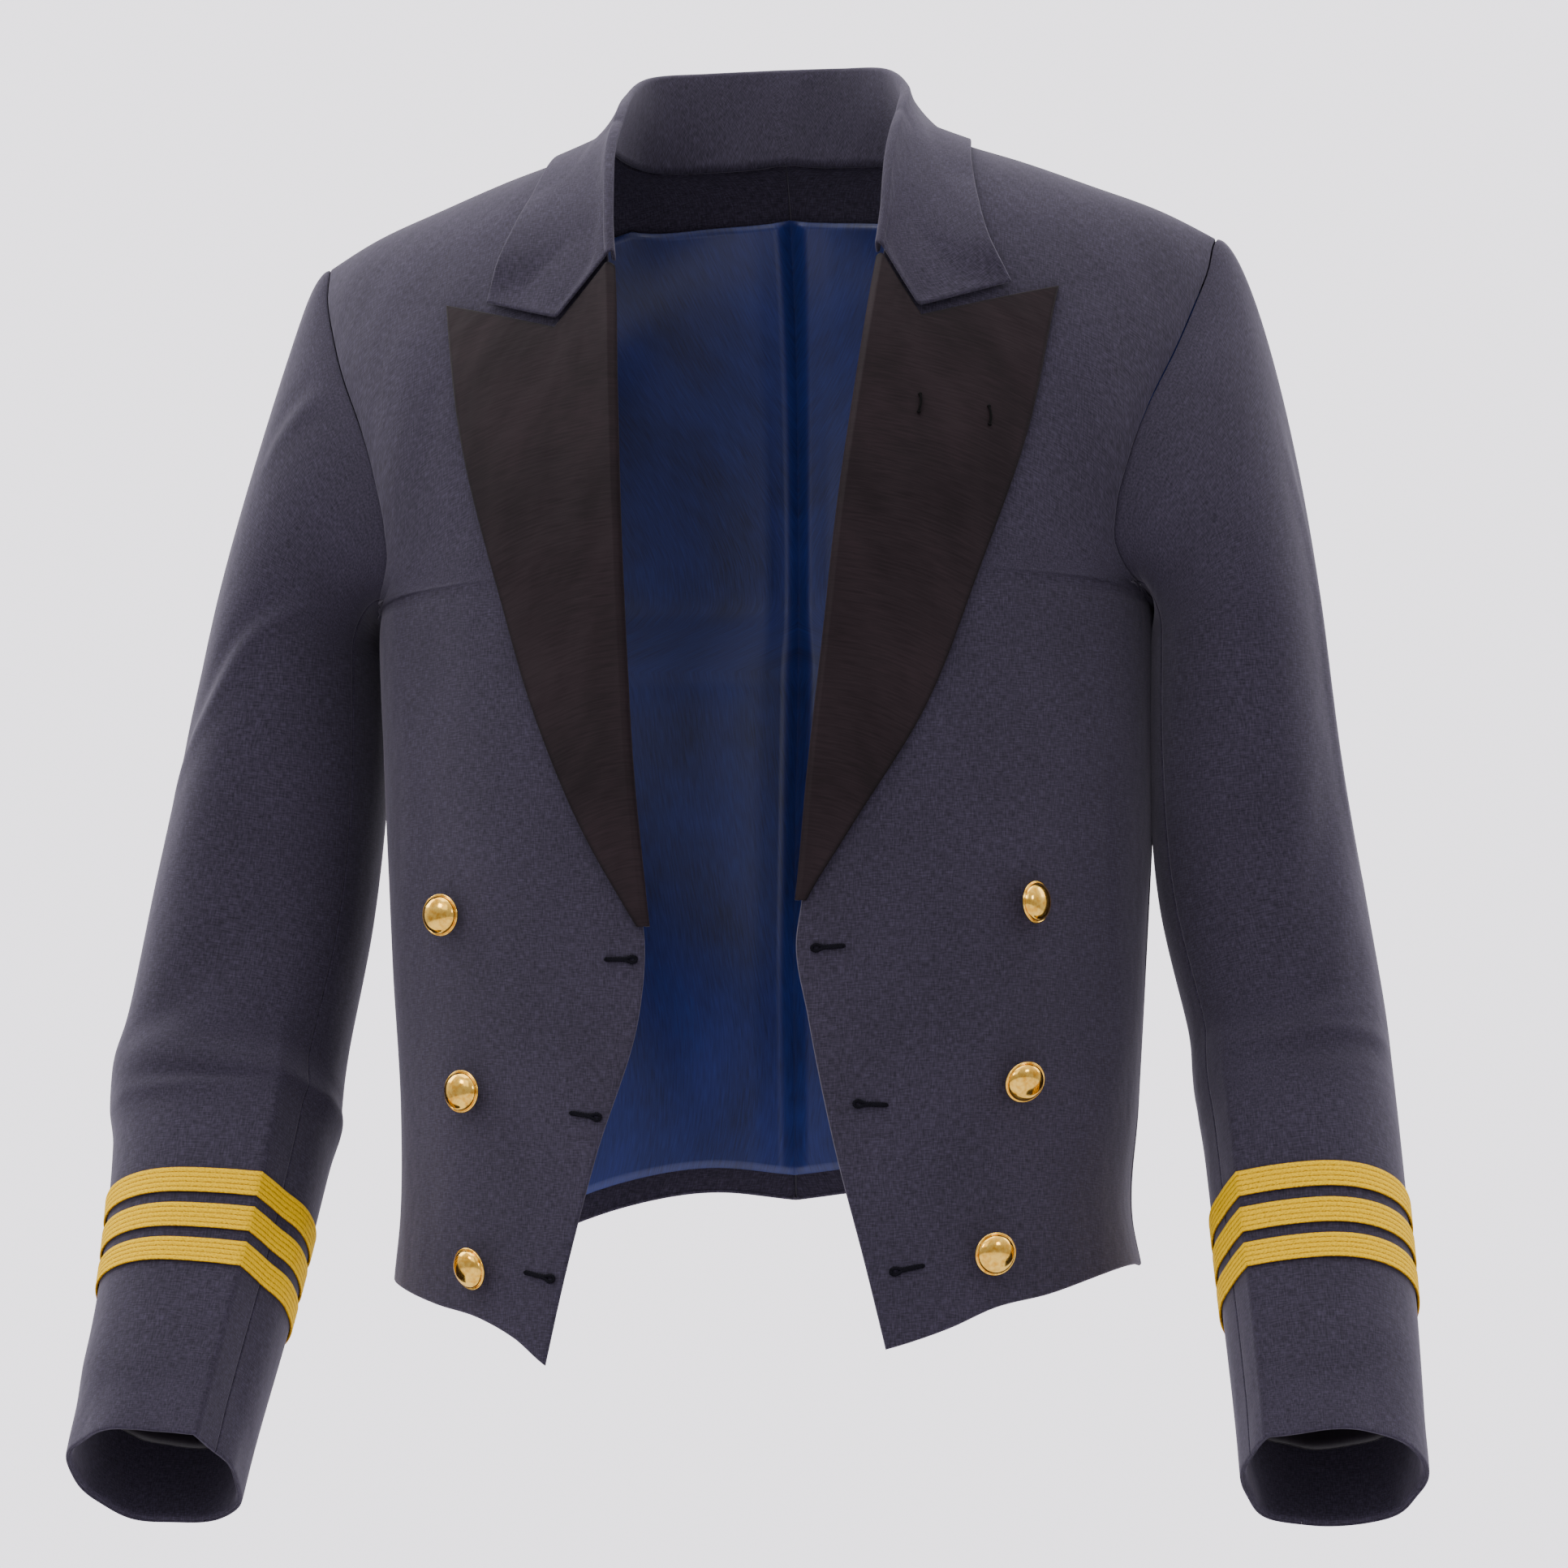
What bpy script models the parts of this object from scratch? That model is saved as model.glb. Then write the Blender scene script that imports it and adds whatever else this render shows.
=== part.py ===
"""Mess jacket in its worn form, with no wearer.

Metres, +Z up. The jacket faces -Y and +X is the wearer's left. The origin is the middle of the
neck base, level with the neck ends of the shoulder seams.

Every sewn piece is a wall of cloth on one of two surfaces: the torso form, which is a stack of
rounded sections closed at the top by the shoulder ridge, and the sleeve form, which runs from the
armhole to the cuff. Lapels, collar, braid and lining are points of those surfaces moved in or out.
"""

import math
from collections import namedtuple

import bpy
import numpy as np
from mathutils import Matrix, Vector

MM = 0.001

# Walls and gaps
CLOTH = 2.0 * MM
LINING = 1.0 * MM
BRAID = 1.0 * MM
SEAM_GAP = 0.3 * MM
LINING_INSIDE = CLOTH + 1.45 * MM
SLEEVE_LINING_INSIDE = CLOTH + 2.8 * MM
SIDE_EASE = 1.8 * MM
TURN_UP = 40.0 * MM
RIM_STEP = 0.03

# Torso form
CHEST_Z = -0.250
SHOULDER_TIP = 0.2305
NECK_POINT = 0.083
RING_POWER = 2.4
FRONT_POWER = 1.85
BACK_POWER = 2.7
NAPE_LEVEL = 0.915
NECK_POWER = 2.2
RIDGE_LEVEL = 0.9995

Section = namedtuple("Section", "z right left front back")
SECTIONS = (
    Section(-0.650, 0.1850, 0.1860, 0.143, 0.114),
    Section(-0.582, 0.1840, 0.1862, 0.137, 0.110),
    Section(-0.556, 0.1814, 0.1815, 0.135, 0.108),
    Section(-0.500, 0.1812, 0.1850, 0.131, 0.104),
    Section(-0.430, 0.1870, 0.1895, 0.128, 0.101),
    Section(-0.340, 0.1925, 0.1945, 0.131, 0.110),
    Section(-0.250, 0.1960, 0.1960, 0.132, 0.122),
)

# Above the chest each level w runs from the chest section (0) to the shoulder ridge (1). The
# armhole columns are shares of that level's half width.
Level = namedtuple("Level", "w half_width armhole_front armhole_back")
LEVELS = (
    Level(0.00, 0.1960, 1.000, 1.000),
    Level(0.03, 0.1970, 0.950, 0.965),
    Level(0.08, 0.1990, 0.908, 0.935),
    Level(0.17, 0.2040, 0.884, 0.915),
    Level(0.30, 0.2120, 0.882, 0.910),
    Level(0.45, 0.2210, 0.895, 0.916),
    Level(0.60, 0.2290, 0.917, 0.930),
    Level(0.75, 0.2325, 0.944, 0.950),
    Level(0.88, 0.2335, 0.968, 0.970),
    Level(0.96, 0.2320, 0.982, 0.983),
    Level(1.00, 0.2305, 0.994, 0.994),
)

RidgePoint = namedtuple("RidgePoint", "x z")
RIDGE = (
    RidgePoint(0.0000, 0.0300),
    RidgePoint(0.0400, 0.0200),
    RidgePoint(0.0830, -0.0020),
    RidgePoint(0.1050, -0.0105),
    RidgePoint(0.1300, -0.0190),
    RidgePoint(0.1660, -0.0330),
    RidgePoint(0.2040, -0.0485),
    RidgePoint(0.2305, -0.0630),
)

# Front edge: neckline, lapel fold, break, then the cut-away edge down to the tip of the hem.
EdgePoint = namedtuple("EdgePoint", "z right left")
FRONT_EDGE = (
    EdgePoint(-0.630, 0.0873, 0.0770),
    EdgePoint(-0.580, 0.0765, 0.0645),
    EdgePoint(-0.530, 0.0636, 0.0512),
    EdgePoint(-0.465, 0.0437, 0.0375),
    EdgePoint(-0.430, 0.0410, 0.0318),
    EdgePoint(-0.410, 0.0430, 0.0345),
    EdgePoint(-0.350, 0.0490, 0.0405),
    EdgePoint(-0.285, 0.0530, 0.0480),
    EdgePoint(-0.220, 0.0563, 0.0550),
    EdgePoint(-0.155, 0.0600, 0.0630),
    EdgePoint(-0.090, 0.0655, 0.0705),
    EdgePoint(-0.040, 0.0750, 0.0765),
    EdgePoint(0.000, 0.0830, 0.0830),
)
BREAK_Z = {"right": -0.4255, "left": -0.4140}
GORGE_Z = -0.0900

HemPoint = namedtuple("HemPoint", "share right left")
FRONT_HEM = (
    HemPoint(0.38, -0.6330, -0.6225),
    HemPoint(0.46, -0.6295, -0.6180),
    HemPoint(0.56, -0.6155, -0.6110),
    HemPoint(0.66, -0.6060, -0.6020),
    HemPoint(0.80, -0.5985, -0.5945),
    HemPoint(0.92, -0.5905, -0.5850),
    HemPoint(1.00, -0.5840, -0.5780),
)
BACK_HEM = (
    HemPoint(0.00, -0.5400, -0.5400),
    HemPoint(0.25, -0.5360, -0.5360),
    HemPoint(0.50, -0.5440, -0.5430),
    HemPoint(0.75, -0.5620, -0.5590),
    HemPoint(1.00, -0.5840, -0.5780),
)

# Outer edge of the lapel from the break up to the peak
LAPEL_EDGE = (
    EdgePoint(-0.426, 0.0420, 0.0300),
    EdgePoint(-0.414, 0.0490, 0.0350),
    EdgePoint(-0.379, 0.0690, 0.0560),
    EdgePoint(-0.323, 0.0935, 0.0905),
    EdgePoint(-0.250, 0.1165, 0.1185),
    EdgePoint(-0.185, 0.1350, 0.1400),
    EdgePoint(-0.103, 0.1500, 0.1550),
)
PEAK_Z = -0.103
NOTCH = (0.0900, -0.1225)
LAPEL_LIFT = 0.6 * MM + CLOTH
ROLL_LIFT = 2.2 * MM
ROLL_REACH = 0.022
ROLL_LEAST = 0.2
ROLL_FULL_BREADTH = 0.04
FOLD_TURN = ((2.9 * MM, -1.9 * MM), (3.2 * MM, 0.4 * MM), (2.2 * MM, 2.8 * MM))

# Collar stations from the front end (0) to the middle of the back (1), each with x, y and z of the
# fold at the top, the middle of the fall and its outer edge. The first station only gives y: its x
# and z come from the gorge, the notch and the collar's corner.
At = namedtuple("At", "x y z")
CollarStation = namedtuple("CollarStation", "u fold middle edge")
COLLAR = (
    CollarStation(0.00, At(0.065, -0.090, -0.087), At(0.0905, -0.100, -0.120), At(0.132, -0.096, -0.107)),
    CollarStation(0.16, At(0.0675, -0.068, -0.048), At(0.089, -0.086, -0.071), At(0.1215, -0.086, -0.077)),
    CollarStation(0.34, At(0.0695, -0.033, 0.001), At(0.087, -0.046, -0.019), At(0.1105, -0.048, -0.034)),
    CollarStation(0.52, At(0.0685, 0.008, 0.029), At(0.0835, 0.004, 0.008), At(0.104, 0.005, -0.008)),
    CollarStation(0.68, At(0.060, 0.044, 0.048), At(0.073, 0.052, 0.025), At(0.088, 0.060, -0.002)),
    CollarStation(0.84, At(0.034, 0.068, 0.0565), At(0.040, 0.080, 0.033), At(0.048, 0.090, 0.006)),
    CollarStation(1.00, At(0.000, 0.075, 0.059), At(0.000, 0.087, 0.035), At(0.000, 0.097, 0.009)),
)
# Behind the neck the collar leans towards the wearer's right
COLLAR_LEAN = {"fold": 7.0 * MM, "middle": 3.5 * MM, "edge": 1.0 * MM}
LEAN_FROM = 0.40
LEAN_FULL = 0.72
SHOULDER_PLACE = 0.52
NOTCH_STEP = 0.42
COLLAR_CORNER = {"right": (0.1285, -0.1075), "left": (0.1345, -0.1050)}
GORGE_GAP = 2.5 * MM
COLLAR_LIFT = 2.1 * MM + CLOTH
COLLAR_ROLL = 2.8 * MM
STAND_INSET = 3.8 * MM
ROOT_DEPTH = 1.0 * MM
FRONT_END = 0.12
STRAIGHT_END = 0.07
FOLD_KEPT = 0.5
STAND_STEPS = (0.0, 0.08, 0.5, 1.0)
FALL_STEPS = (0.0, 0.2, NOTCH_STEP, 0.6, 0.8, 0.98, 1.0)
ROLL_TOP = 0.9
ROLL_ACROSS = 1.9

# Sleeve sections below the armhole, outward distances for each side
Sleeve = namedtuple("Sleeve", "z y right left right_half left_half right_depth left_depth")
SLEEVE = (
    Sleeve(-0.270, 0.000, 0.2428, 0.2400, 0.0443, 0.0415, 0.0745, 0.0775),
    Sleeve(-0.330, 0.004, 0.2506, 0.2425, 0.0516, 0.0455, 0.0660, 0.0700),
    Sleeve(-0.392, 0.008, 0.2611, 0.2485, 0.0559, 0.0486, 0.0570, 0.0620),
    Sleeve(-0.456, 0.004, 0.2718, 0.2595, 0.0560, 0.0473, 0.0545, 0.0575),
    Sleeve(-0.492, -0.005, 0.2760, 0.2620, 0.0580, 0.0485, 0.0530, 0.0550),
    Sleeve(-0.525, -0.018, 0.2750, 0.2660, 0.0535, 0.0475, 0.0515, 0.0530),
    Sleeve(-0.590, -0.051, 0.2765, 0.2725, 0.0475, 0.0462, 0.0475, 0.0480),
    Sleeve(-0.645, -0.083, 0.2800, 0.2775, 0.0440, 0.0443, 0.0450, 0.0450),
    Sleeve(-0.681, -0.105, 0.2815, 0.2800, 0.0418, 0.0430, 0.0440, 0.0435),
)
SLEEVE_POWER = 2.25
ARMHOLE_OFFSET = 4.2 * SEAM_GAP
CAP_ROWS = (0.0, 0.04, 0.14, 0.28, 0.45, 0.63, 0.82)
CAP_SHARE = 0.30
# The sleeve head leaves the armhole outwards and a little upwards, further under the arm
LEAVE_WAY = (1.0, 0.0, 0.12)
LEAVE = 0.075
LEAVE_UNDER = 0.16
ARRIVE = 0.47
ARRIVE_UNDER = 0.05
FOREARM_SEAM = math.radians(148)
HINDARM_SEAM = math.radians(250)
PRESSED_EDGE = math.radians(126)
PRESS_FROM = 0.42
PRESS_OVER = 0.2
PRESS_HEIGHT = 0.11
PRESS_SPREAD = 0.30

# Braid rings: distance of each ring's lower edge from the cuff's edge
BRAID_WIDTH = 13.5 * MM
BRAID_PITCH = 19.5 * MM
BRAID_FROM_CUFF = {"right": 94.0 * MM, "left": 92.0 * MM}

# Buttons
BUTTON_RADIUS = 10.3 * MM
BUTTON_RIM = 1.4 * MM
BUTTON_DOME = 4.6 * MM
SHANK_RADIUS = 2.3 * MM
SHANK_LENGTH = 5.6 * MM
BUTTON_SIDES = 12
DOME_STEPS = 5
Button = namedtuple("Button", "side number x z turn nod")
BUTTONS = (
    Button("right", 1, 0.1435, -0.4105, -12, 4),
    Button("right", 2, 0.1295, -0.4970, -6, 6),
    Button("right", 3, 0.1215, -0.5810, 8, 20),
    Button("left", 1, 0.1380, -0.4095, 26, 0),
    Button("left", 2, 0.1345, -0.4930, 0, 25),
    Button("left", 3, 0.1215, -0.5755, 0, 20),
)

# Largest folds of the fronts, as soft ridges (+) or troughs (-) between two points (x, z)
Fold = namedtuple("Fold", "side x0 z0 x1 z1 width depth")
FRONT_FOLDS = (
    Fold("right", 0.172, -0.120, 0.180, -0.300, 0.016, 2.5 * MM),
    Fold("right", 0.160, -0.230, 0.150, -0.460, 0.020, -2.0 * MM),
    Fold("left", 0.176, -0.120, 0.184, -0.290, 0.016, 2.5 * MM),
    Fold("left", 0.165, -0.330, 0.158, -0.560, 0.018, -2.5 * MM),
)

# Largest folds of the sleeves: place along the sleeve (0 armhole, 1 cuff) and angle in degrees
SleeveFold = namedtuple("SleeveFold", "side along0 angle0 along1 angle1 width depth")
FOLD_LENGTH = 0.66
FOLD_GIRTH = 0.055
SLEEVE_FOLDS = (
    SleeveFold("right", 0.44, 130, 0.66, 25, 0.012, -3.0 * MM),
    SleeveFold("right", 0.62, 10, 0.74, 340, 0.014, 3.0 * MM),
    SleeveFold("right", 0.60, 285, 0.70, 235, 0.012, -3.0 * MM),
    SleeveFold("left", 0.40, 35, 0.62, 100, 0.014, -2.5 * MM),
    SleeveFold("left", 0.60, 290, 0.70, 240, 0.012, -3.0 * MM),
)

SIDES = {"right": -1.0, "left": 1.0}

# Panels stand away from their seams by these shares of half a seam gap
FRONT_SET = -2.5
BACK_SET = 2.5
CENTRE_SET = 2.2

Finish = namedtuple("Finish", "name colour roughness metallic")
CLOTH_FINISH = Finish("blue_grey_barathea", (0.052, 0.050, 0.070), 0.9, 0.0)
LAPEL_FINISH = Finish("black_facing_silk", (0.021, 0.018, 0.018), 0.6, 0.0)
LINING_FINISH = Finish("blue_lining", (0.020, 0.030, 0.100), 0.5, 0.0)
BRAID_FINISH = Finish("yellow_braid", (0.900, 0.560, 0.010), 0.7, 0.0)
BRASS_FINISH = Finish("gilt_brass", (0.900, 0.560, 0.160), 0.22, 1.0)


def clear_scene():
    """Empties the scene."""
    for obj in list(bpy.data.objects):
        bpy.data.objects.remove(obj, do_unlink=True)


def through(knots, values):
    """Smooth function through a table: a cubic with the slope of the neighbouring rows."""
    order = np.argsort(knots)
    knots = np.asarray(knots, float)[order]
    values = np.asarray(values, float)[order]
    slopes = np.gradient(values, knots)

    def at(t):
        t = np.clip(t, knots[0], knots[-1])
        row = np.clip(np.searchsorted(knots, t, side="right") - 1, 0, len(knots) - 2)
        step = knots[row + 1] - knots[row]
        s = (t - knots[row]) / step
        rise = values[row + 1] - values[row]
        start = slopes[row] * step
        end = slopes[row + 1] * step
        curve = s * s * (3 - 2 * s) * rise
        return values[row] + curve + s * (1 - s) ** 2 * start - s * s * (1 - s) * end

    return at


def column(rows, key, value):
    """Smooth function from one named column of a table to another."""
    return through([getattr(r, key) for r in rows], [getattr(r, value) for r in rows])


body_half_width = {side: column(SECTIONS, "z", side) for side in SIDES}
body_depth = {face: column(SECTIONS, "z", face) for face in ("front", "back")}
level_half_width = column(LEVELS, "w", "half_width")
armhole = {face: column(LEVELS, "w", "armhole_" + face) for face in ("front", "back")}
ridge_height = column(RIDGE, "x", "z")
front_edge = {side: column(FRONT_EDGE, "z", side) for side in SIDES}
lapel_edge = {side: column(LAPEL_EDGE, "z", side) for side in SIDES}
front_hem = {side: column(FRONT_HEM, "share", side) for side in SIDES}
back_hem = {side: column(BACK_HEM, "share", side) for side in SIDES}


def ring_depth(share):
    """Depth of a section at a share of its half width, as part of its full depth."""
    return np.clip(1 - np.abs(share) ** RING_POWER, 0, 1) ** (1 / RING_POWER)


def level_depth(w, face):
    """Depth of an upper level as part of the chest's depth: 1 at the chest, 0 on the ridge."""
    power = FRONT_POWER if face == "front" else BACK_POWER
    return np.clip(1 - np.clip(w, 0, 1) ** power, 0, 1) ** (1 / power)


def lower_torso(side, share, z, face):
    """Points of the torso below the chest (x outwards)."""
    x = share * body_half_width[side](z)
    y = ring_depth(share) * body_depth[face](z)
    return np.stack([x, -y if face == "front" else y, z + 0 * x], -1)


def upper_torso(share, w, face):
    """Points of the torso between the chest and the shoulder ridge (x outwards)."""
    x = share * level_half_width(w)
    y = ring_depth(share) * level_depth(w, face) * body_depth[face](CHEST_Z)
    z = CHEST_Z + (ridge_height(share * SHOULDER_TIP) - CHEST_Z) * w
    return np.stack([x, -y if face == "front" else y, z], -1)


def share_and_level(x, z):
    """Share of the half width and level w of the upper torso seen at x outwards and height z."""
    share = np.clip(x / SHOULDER_TIP, 0, 1)
    for _ in range(6):
        top = ridge_height(share * SHOULDER_TIP)
        w = np.clip((z - CHEST_Z) / (top - CHEST_Z), 0, 1)
        share = np.clip(x / level_half_width(w), 0, 1)
    return share, w


def torso_at(side, x, z):
    """The front's point seen at x outwards and height z."""
    x, z = np.broadcast_arrays(np.asarray(x, float), np.asarray(z, float))
    upper = upper_torso(*share_and_level(x, z), "front")
    lower = lower_torso(side, np.clip(x / body_half_width[side](z), 0, 1), z, "front")
    return np.where((z > CHEST_Z)[..., None], upper, lower)


def normals_of(grid):
    """Unit normals of a grid of points, from the differences along its rows and columns."""
    along = np.gradient(grid, axis=0)
    across = np.gradient(grid, axis=1)
    normal = np.cross(across, along)
    return normal / np.maximum(np.linalg.norm(normal, axis=-1, keepdims=True), 1e-12)


def moved_out(grid, distance):
    """The grid moved along its normals."""
    return grid + normals_of(grid) * np.asarray(distance)[..., None]


def spaced(count, rim=RIM_STEP):
    """Shares from 0 to 1 with a short first and last step, so that rims stand square."""
    inner = np.linspace(0, 1, count)
    return np.concatenate([[0, rim / 2], inner[1:-1], [1 - rim / 2, 1]])


def segment_bump(u, v, start, end, width, depth):
    """Soft ridge or trough about a segment: a bell across it that fades towards its ends."""
    du, dv = end[0] - start[0], end[1] - start[1]
    length = math.hypot(du, dv)
    t = ((u - start[0]) * du + (v - start[1]) * dv) / length ** 2
    away = np.abs((u - start[0]) * dv - (v - start[1]) * du) / length
    fade = np.clip(1 - (2 * np.clip(t, -0.2, 1.2) - 1) ** 2 / 1.4, 0, 1)
    return depth * fade * np.exp(-((away / width) ** 2))


def fold_heights(grid, side):
    """Height of the fronts' folds at each point of a grid."""
    height = np.zeros(grid.shape[:2])
    for fold in FRONT_FOLDS:
        if fold.side == side:
            start, end = (fold.x0, fold.z0), (fold.x1, fold.z1)
            height += segment_bump(grid[..., 0], grid[..., 2], start, end, fold.width, fold.depth)
    return height


def share_angle(share):
    """Angle round a section, so that columns are evenly spaced on its curve."""
    return np.arcsin(np.clip(share, 0, 1) ** (RING_POWER / 2))


def shares_between(inner, outer, columns):
    """Shares of the half width from the inner to the outer boundary of a row."""
    start, end = share_angle(inner)[..., None], share_angle(outer)[..., None]
    return np.sin(start + (end - start) * columns) ** (2 / RING_POWER)


def front_grid(side, columns, lower_rows, upper_rows):
    """Outer surface of one front, hem first, from its front edge to the side and armhole."""
    inner = np.full(lower_rows.shape, 0.3)
    for _ in range(8):
        z = CHEST_Z + (front_hem[side](inner) - CHEST_Z) * lower_rows
        inner = front_edge[side](z) / body_half_width[side](z)
    share = shares_between(inner, np.ones_like(inner), columns)
    z = CHEST_Z + (front_hem[side](share) - CHEST_Z) * lower_rows[:, None]
    lower = lower_torso(side, share, z, "front")
    inner = np.full(upper_rows.shape, 0.3)
    for _ in range(8):
        z = CHEST_Z + (ridge_height(inner * SHOULDER_TIP) - CHEST_Z) * upper_rows
        inner = front_edge[side](z) / level_half_width(upper_rows)
    share = shares_between(inner, armhole["front"](upper_rows), columns)
    upper = upper_torso(share, upper_rows[:, None], "front")
    grid = np.concatenate([lower, upper])
    return moved_out(grid, fold_heights(grid, side))


def back_grid(side, columns, lower_rows, upper_rows):
    """Outer surface of one back half, hem first, from the centre seam to side and armhole."""
    share = shares_between(np.zeros_like(lower_rows), np.ones_like(lower_rows), columns)
    z = CHEST_Z + (back_hem[side](share) - CHEST_Z) * lower_rows[:, None]
    lower = lower_torso(side, share, z, "back")
    share = shares_between(np.zeros_like(upper_rows), armhole["back"](upper_rows), columns)
    upper = upper_torso(share, upper_rows[:, None] * back_neck_level(share), "back")
    return np.concatenate([lower, upper])[:, ::-1]


def neckline(side, u):
    """Neck edge of the body from the gorge (0) over the shoulder to the nape (1).

    Gives its points, the directions out of the cloth and those off its edge into the neck."""
    z = GORGE_Z * (1 - np.clip(u / SHOULDER_PLACE, 0, 1))
    front_share, front_w = share_and_level(front_edge[side](z), z)
    front_w = np.minimum(front_w, RIDGE_LEVEL)
    back_share = NECK_POINT / SHOULDER_TIP * np.clip((1 - u) / (1 - SHOULDER_PLACE), 0, 1)
    back_w = back_neck_level(back_share)
    found = []
    for share, w, face in ((front_share, front_w, "front"), (back_share, back_w, "back")):
        point = upper_torso(share, w, face)
        across = upper_torso(share + 0.004, w, face) - point
        down = upper_torso(share, w - 0.004, face) - point
        out = np.cross(across, down)
        out /= np.linalg.norm(out, axis=-1, keepdims=True)
        out = out * np.where(out[:, 2:] < 0, -1, 1)
        along = np.gradient(point, axis=0)
        into = np.cross(out, along)
        into /= np.maximum(np.linalg.norm(into, axis=-1, keepdims=True), 1e-12)
        into = into * np.where((into * point * (1, 1, 0)).sum(-1, keepdims=True) > 0, -1, 1)
        found.append((point, out, into))
    in_front = (u <= SHOULDER_PLACE)[:, None]
    return [np.where(in_front, ahead, behind) for ahead, behind in zip(*found)]


def back_neck_level(share):
    """Level of the neck edge across the back: lowest at the nape, 1 at the shoulder seam."""
    neck = np.clip(share * SHOULDER_TIP / NECK_POINT, 0, 1)
    return NAPE_LEVEL + (1 - NAPE_LEVEL) * neck ** NECK_POWER


def outside_body(points, lift):
    """Points pushed away from the middle of the chest until they clear the torso by a lift."""
    x, y, z = points[..., 0], points[..., 1], points[..., 2]
    share = np.clip(x / SHOULDER_TIP, 0, 0.98)
    reach = ridge_height(share * SHOULDER_TIP) - CHEST_Z
    face_front = y < 0
    depth = np.where(face_front, body_depth["front"](CHEST_Z), body_depth["back"](CHEST_Z))
    power = np.where(face_front, FRONT_POWER, BACK_POWER)
    across = np.abs(y) / (depth * ring_depth(share))
    up = np.clip((z - CHEST_Z) / reach, 0, None)
    level = (across ** power + up ** power) ** (1 / power)
    radius = np.hypot(y, z - CHEST_Z)
    stretch = np.maximum(1, (1 + lift / radius) / level)
    return np.stack([x, y * stretch, CHEST_Z + (z - CHEST_Z) * stretch], -1)


def mesh_object(name, vertices, faces, finish):
    """New object from points and faces, in its collection and with its material."""
    mesh = bpy.data.meshes.new(name)
    mesh.from_pydata([tuple(map(float, p)) for p in vertices], [], faces)
    mesh.update()
    mesh.shade_smooth()
    obj = bpy.data.objects.new(name, mesh)
    mesh.materials.append(material(finish, name))
    parts.objects.link(obj)
    return obj


def material(finish, name):
    """A Principled material for one sub-part."""
    made = bpy.data.materials.new(finish.name + "_" + name)
    made.use_nodes = True
    shader = made.node_tree.nodes["Principled BSDF"]
    shader.inputs["Base Color"].default_value = (*finish.colour, 1)
    shader.inputs["Roughness"].default_value = finish.roughness
    shader.inputs["Metallic"].default_value = finish.metallic
    return made


def grid_faces(rows, columns, closed):
    """Quads of a grid, joined round its columns where it is closed."""
    faces = []
    for i in range(rows - 1):
        for j in range(columns if closed else columns - 1):
            k = (j + 1) % columns
            faces.append((i * columns + j, i * columns + k, (i + 1) * columns + k, (i + 1) * columns + j))
    return faces


def wall(name, grid, thickness, finish, side="left", closed=False):
    """One piece of cloth: an open sheet on the outer surface, thickened inwards."""
    points = grid * (SIDES[side], 1, 1)
    faces = grid_faces(*grid.shape[:2], closed)
    if side == "right":
        faces = [face[::-1] for face in faces]
    obj = mesh_object(name, points.reshape(-1, 3), faces, finish)
    solidify = obj.modifiers.new("wall", "SOLIDIFY")
    solidify.thickness = thickness
    solidify.offset = -1
    return obj


def apart(grid, x=0.0, y=0.0):
    """The grid moved half a seam gap away from its seams."""
    return grid + (x * SEAM_GAP / 2, y * SEAM_GAP / 2, 0)


LOWER_ROWS = np.concatenate([[1, 0.985], np.linspace(1, 0, 9)[1:]])
UPPER_ROWS = np.array([0.022, 0.05, 0.09, 0.15, 0.23, 0.34, 0.47, 0.60, 0.73, 0.84, 0.92, 0.97, 0.9975, 1])


def build_fronts():
    """The two fore parts."""
    for side in SIDES:
        grid = front_grid(side, spaced(12), LOWER_ROWS, UPPER_ROWS)
        wall("front_" + side, apart(grid, y=FRONT_SET), CLOTH, CLOTH_FINISH, side)


def build_backs():
    """The two back halves."""
    for side in SIDES:
        grid = back_grid(side, spaced(9), LOWER_ROWS, UPPER_ROWS)
        wall("back_" + side, apart(grid, x=CENTRE_SET, y=BACK_SET), CLOTH, CLOTH_FINISH, side)


def lapel_seat(side, columns, rows):
    """The front's surface under a lapel: rows from break to gorge, columns from the fold out."""
    notch = np.array(NOTCH)
    fold_top = np.array([front_edge[side](GORGE_Z), GORGE_Z])
    peak = np.array([lapel_edge[side](PEAK_Z), PEAK_Z])
    first = np.linalg.norm(notch - fold_top)
    turn = first / (first + np.linalg.norm(peak - notch))
    t = columns[:, None]
    before = fold_top + (notch - fold_top) * t / turn
    after = notch + (peak - notch) * (t - turn) / (1 - turn)
    top = np.where(t < turn, before, after)
    z_in = BREAK_Z[side] + (GORGE_Z - BREAK_Z[side]) * rows
    z_out = BREAK_Z[side] + (PEAK_Z - BREAK_Z[side]) * rows
    fold = np.stack([front_edge[side](z_in), z_in], -1)
    edge = np.stack([lapel_edge[side](z_out), z_out], -1)
    straight_top = fold_top + (peak - fold_top) * t
    flat = fold[:, None] + (edge - fold)[:, None] * t
    flat = flat + (top - straight_top) * (rows ** 6)[:, None, None]
    return torso_at(side, flat[..., 0], flat[..., 1])


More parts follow.
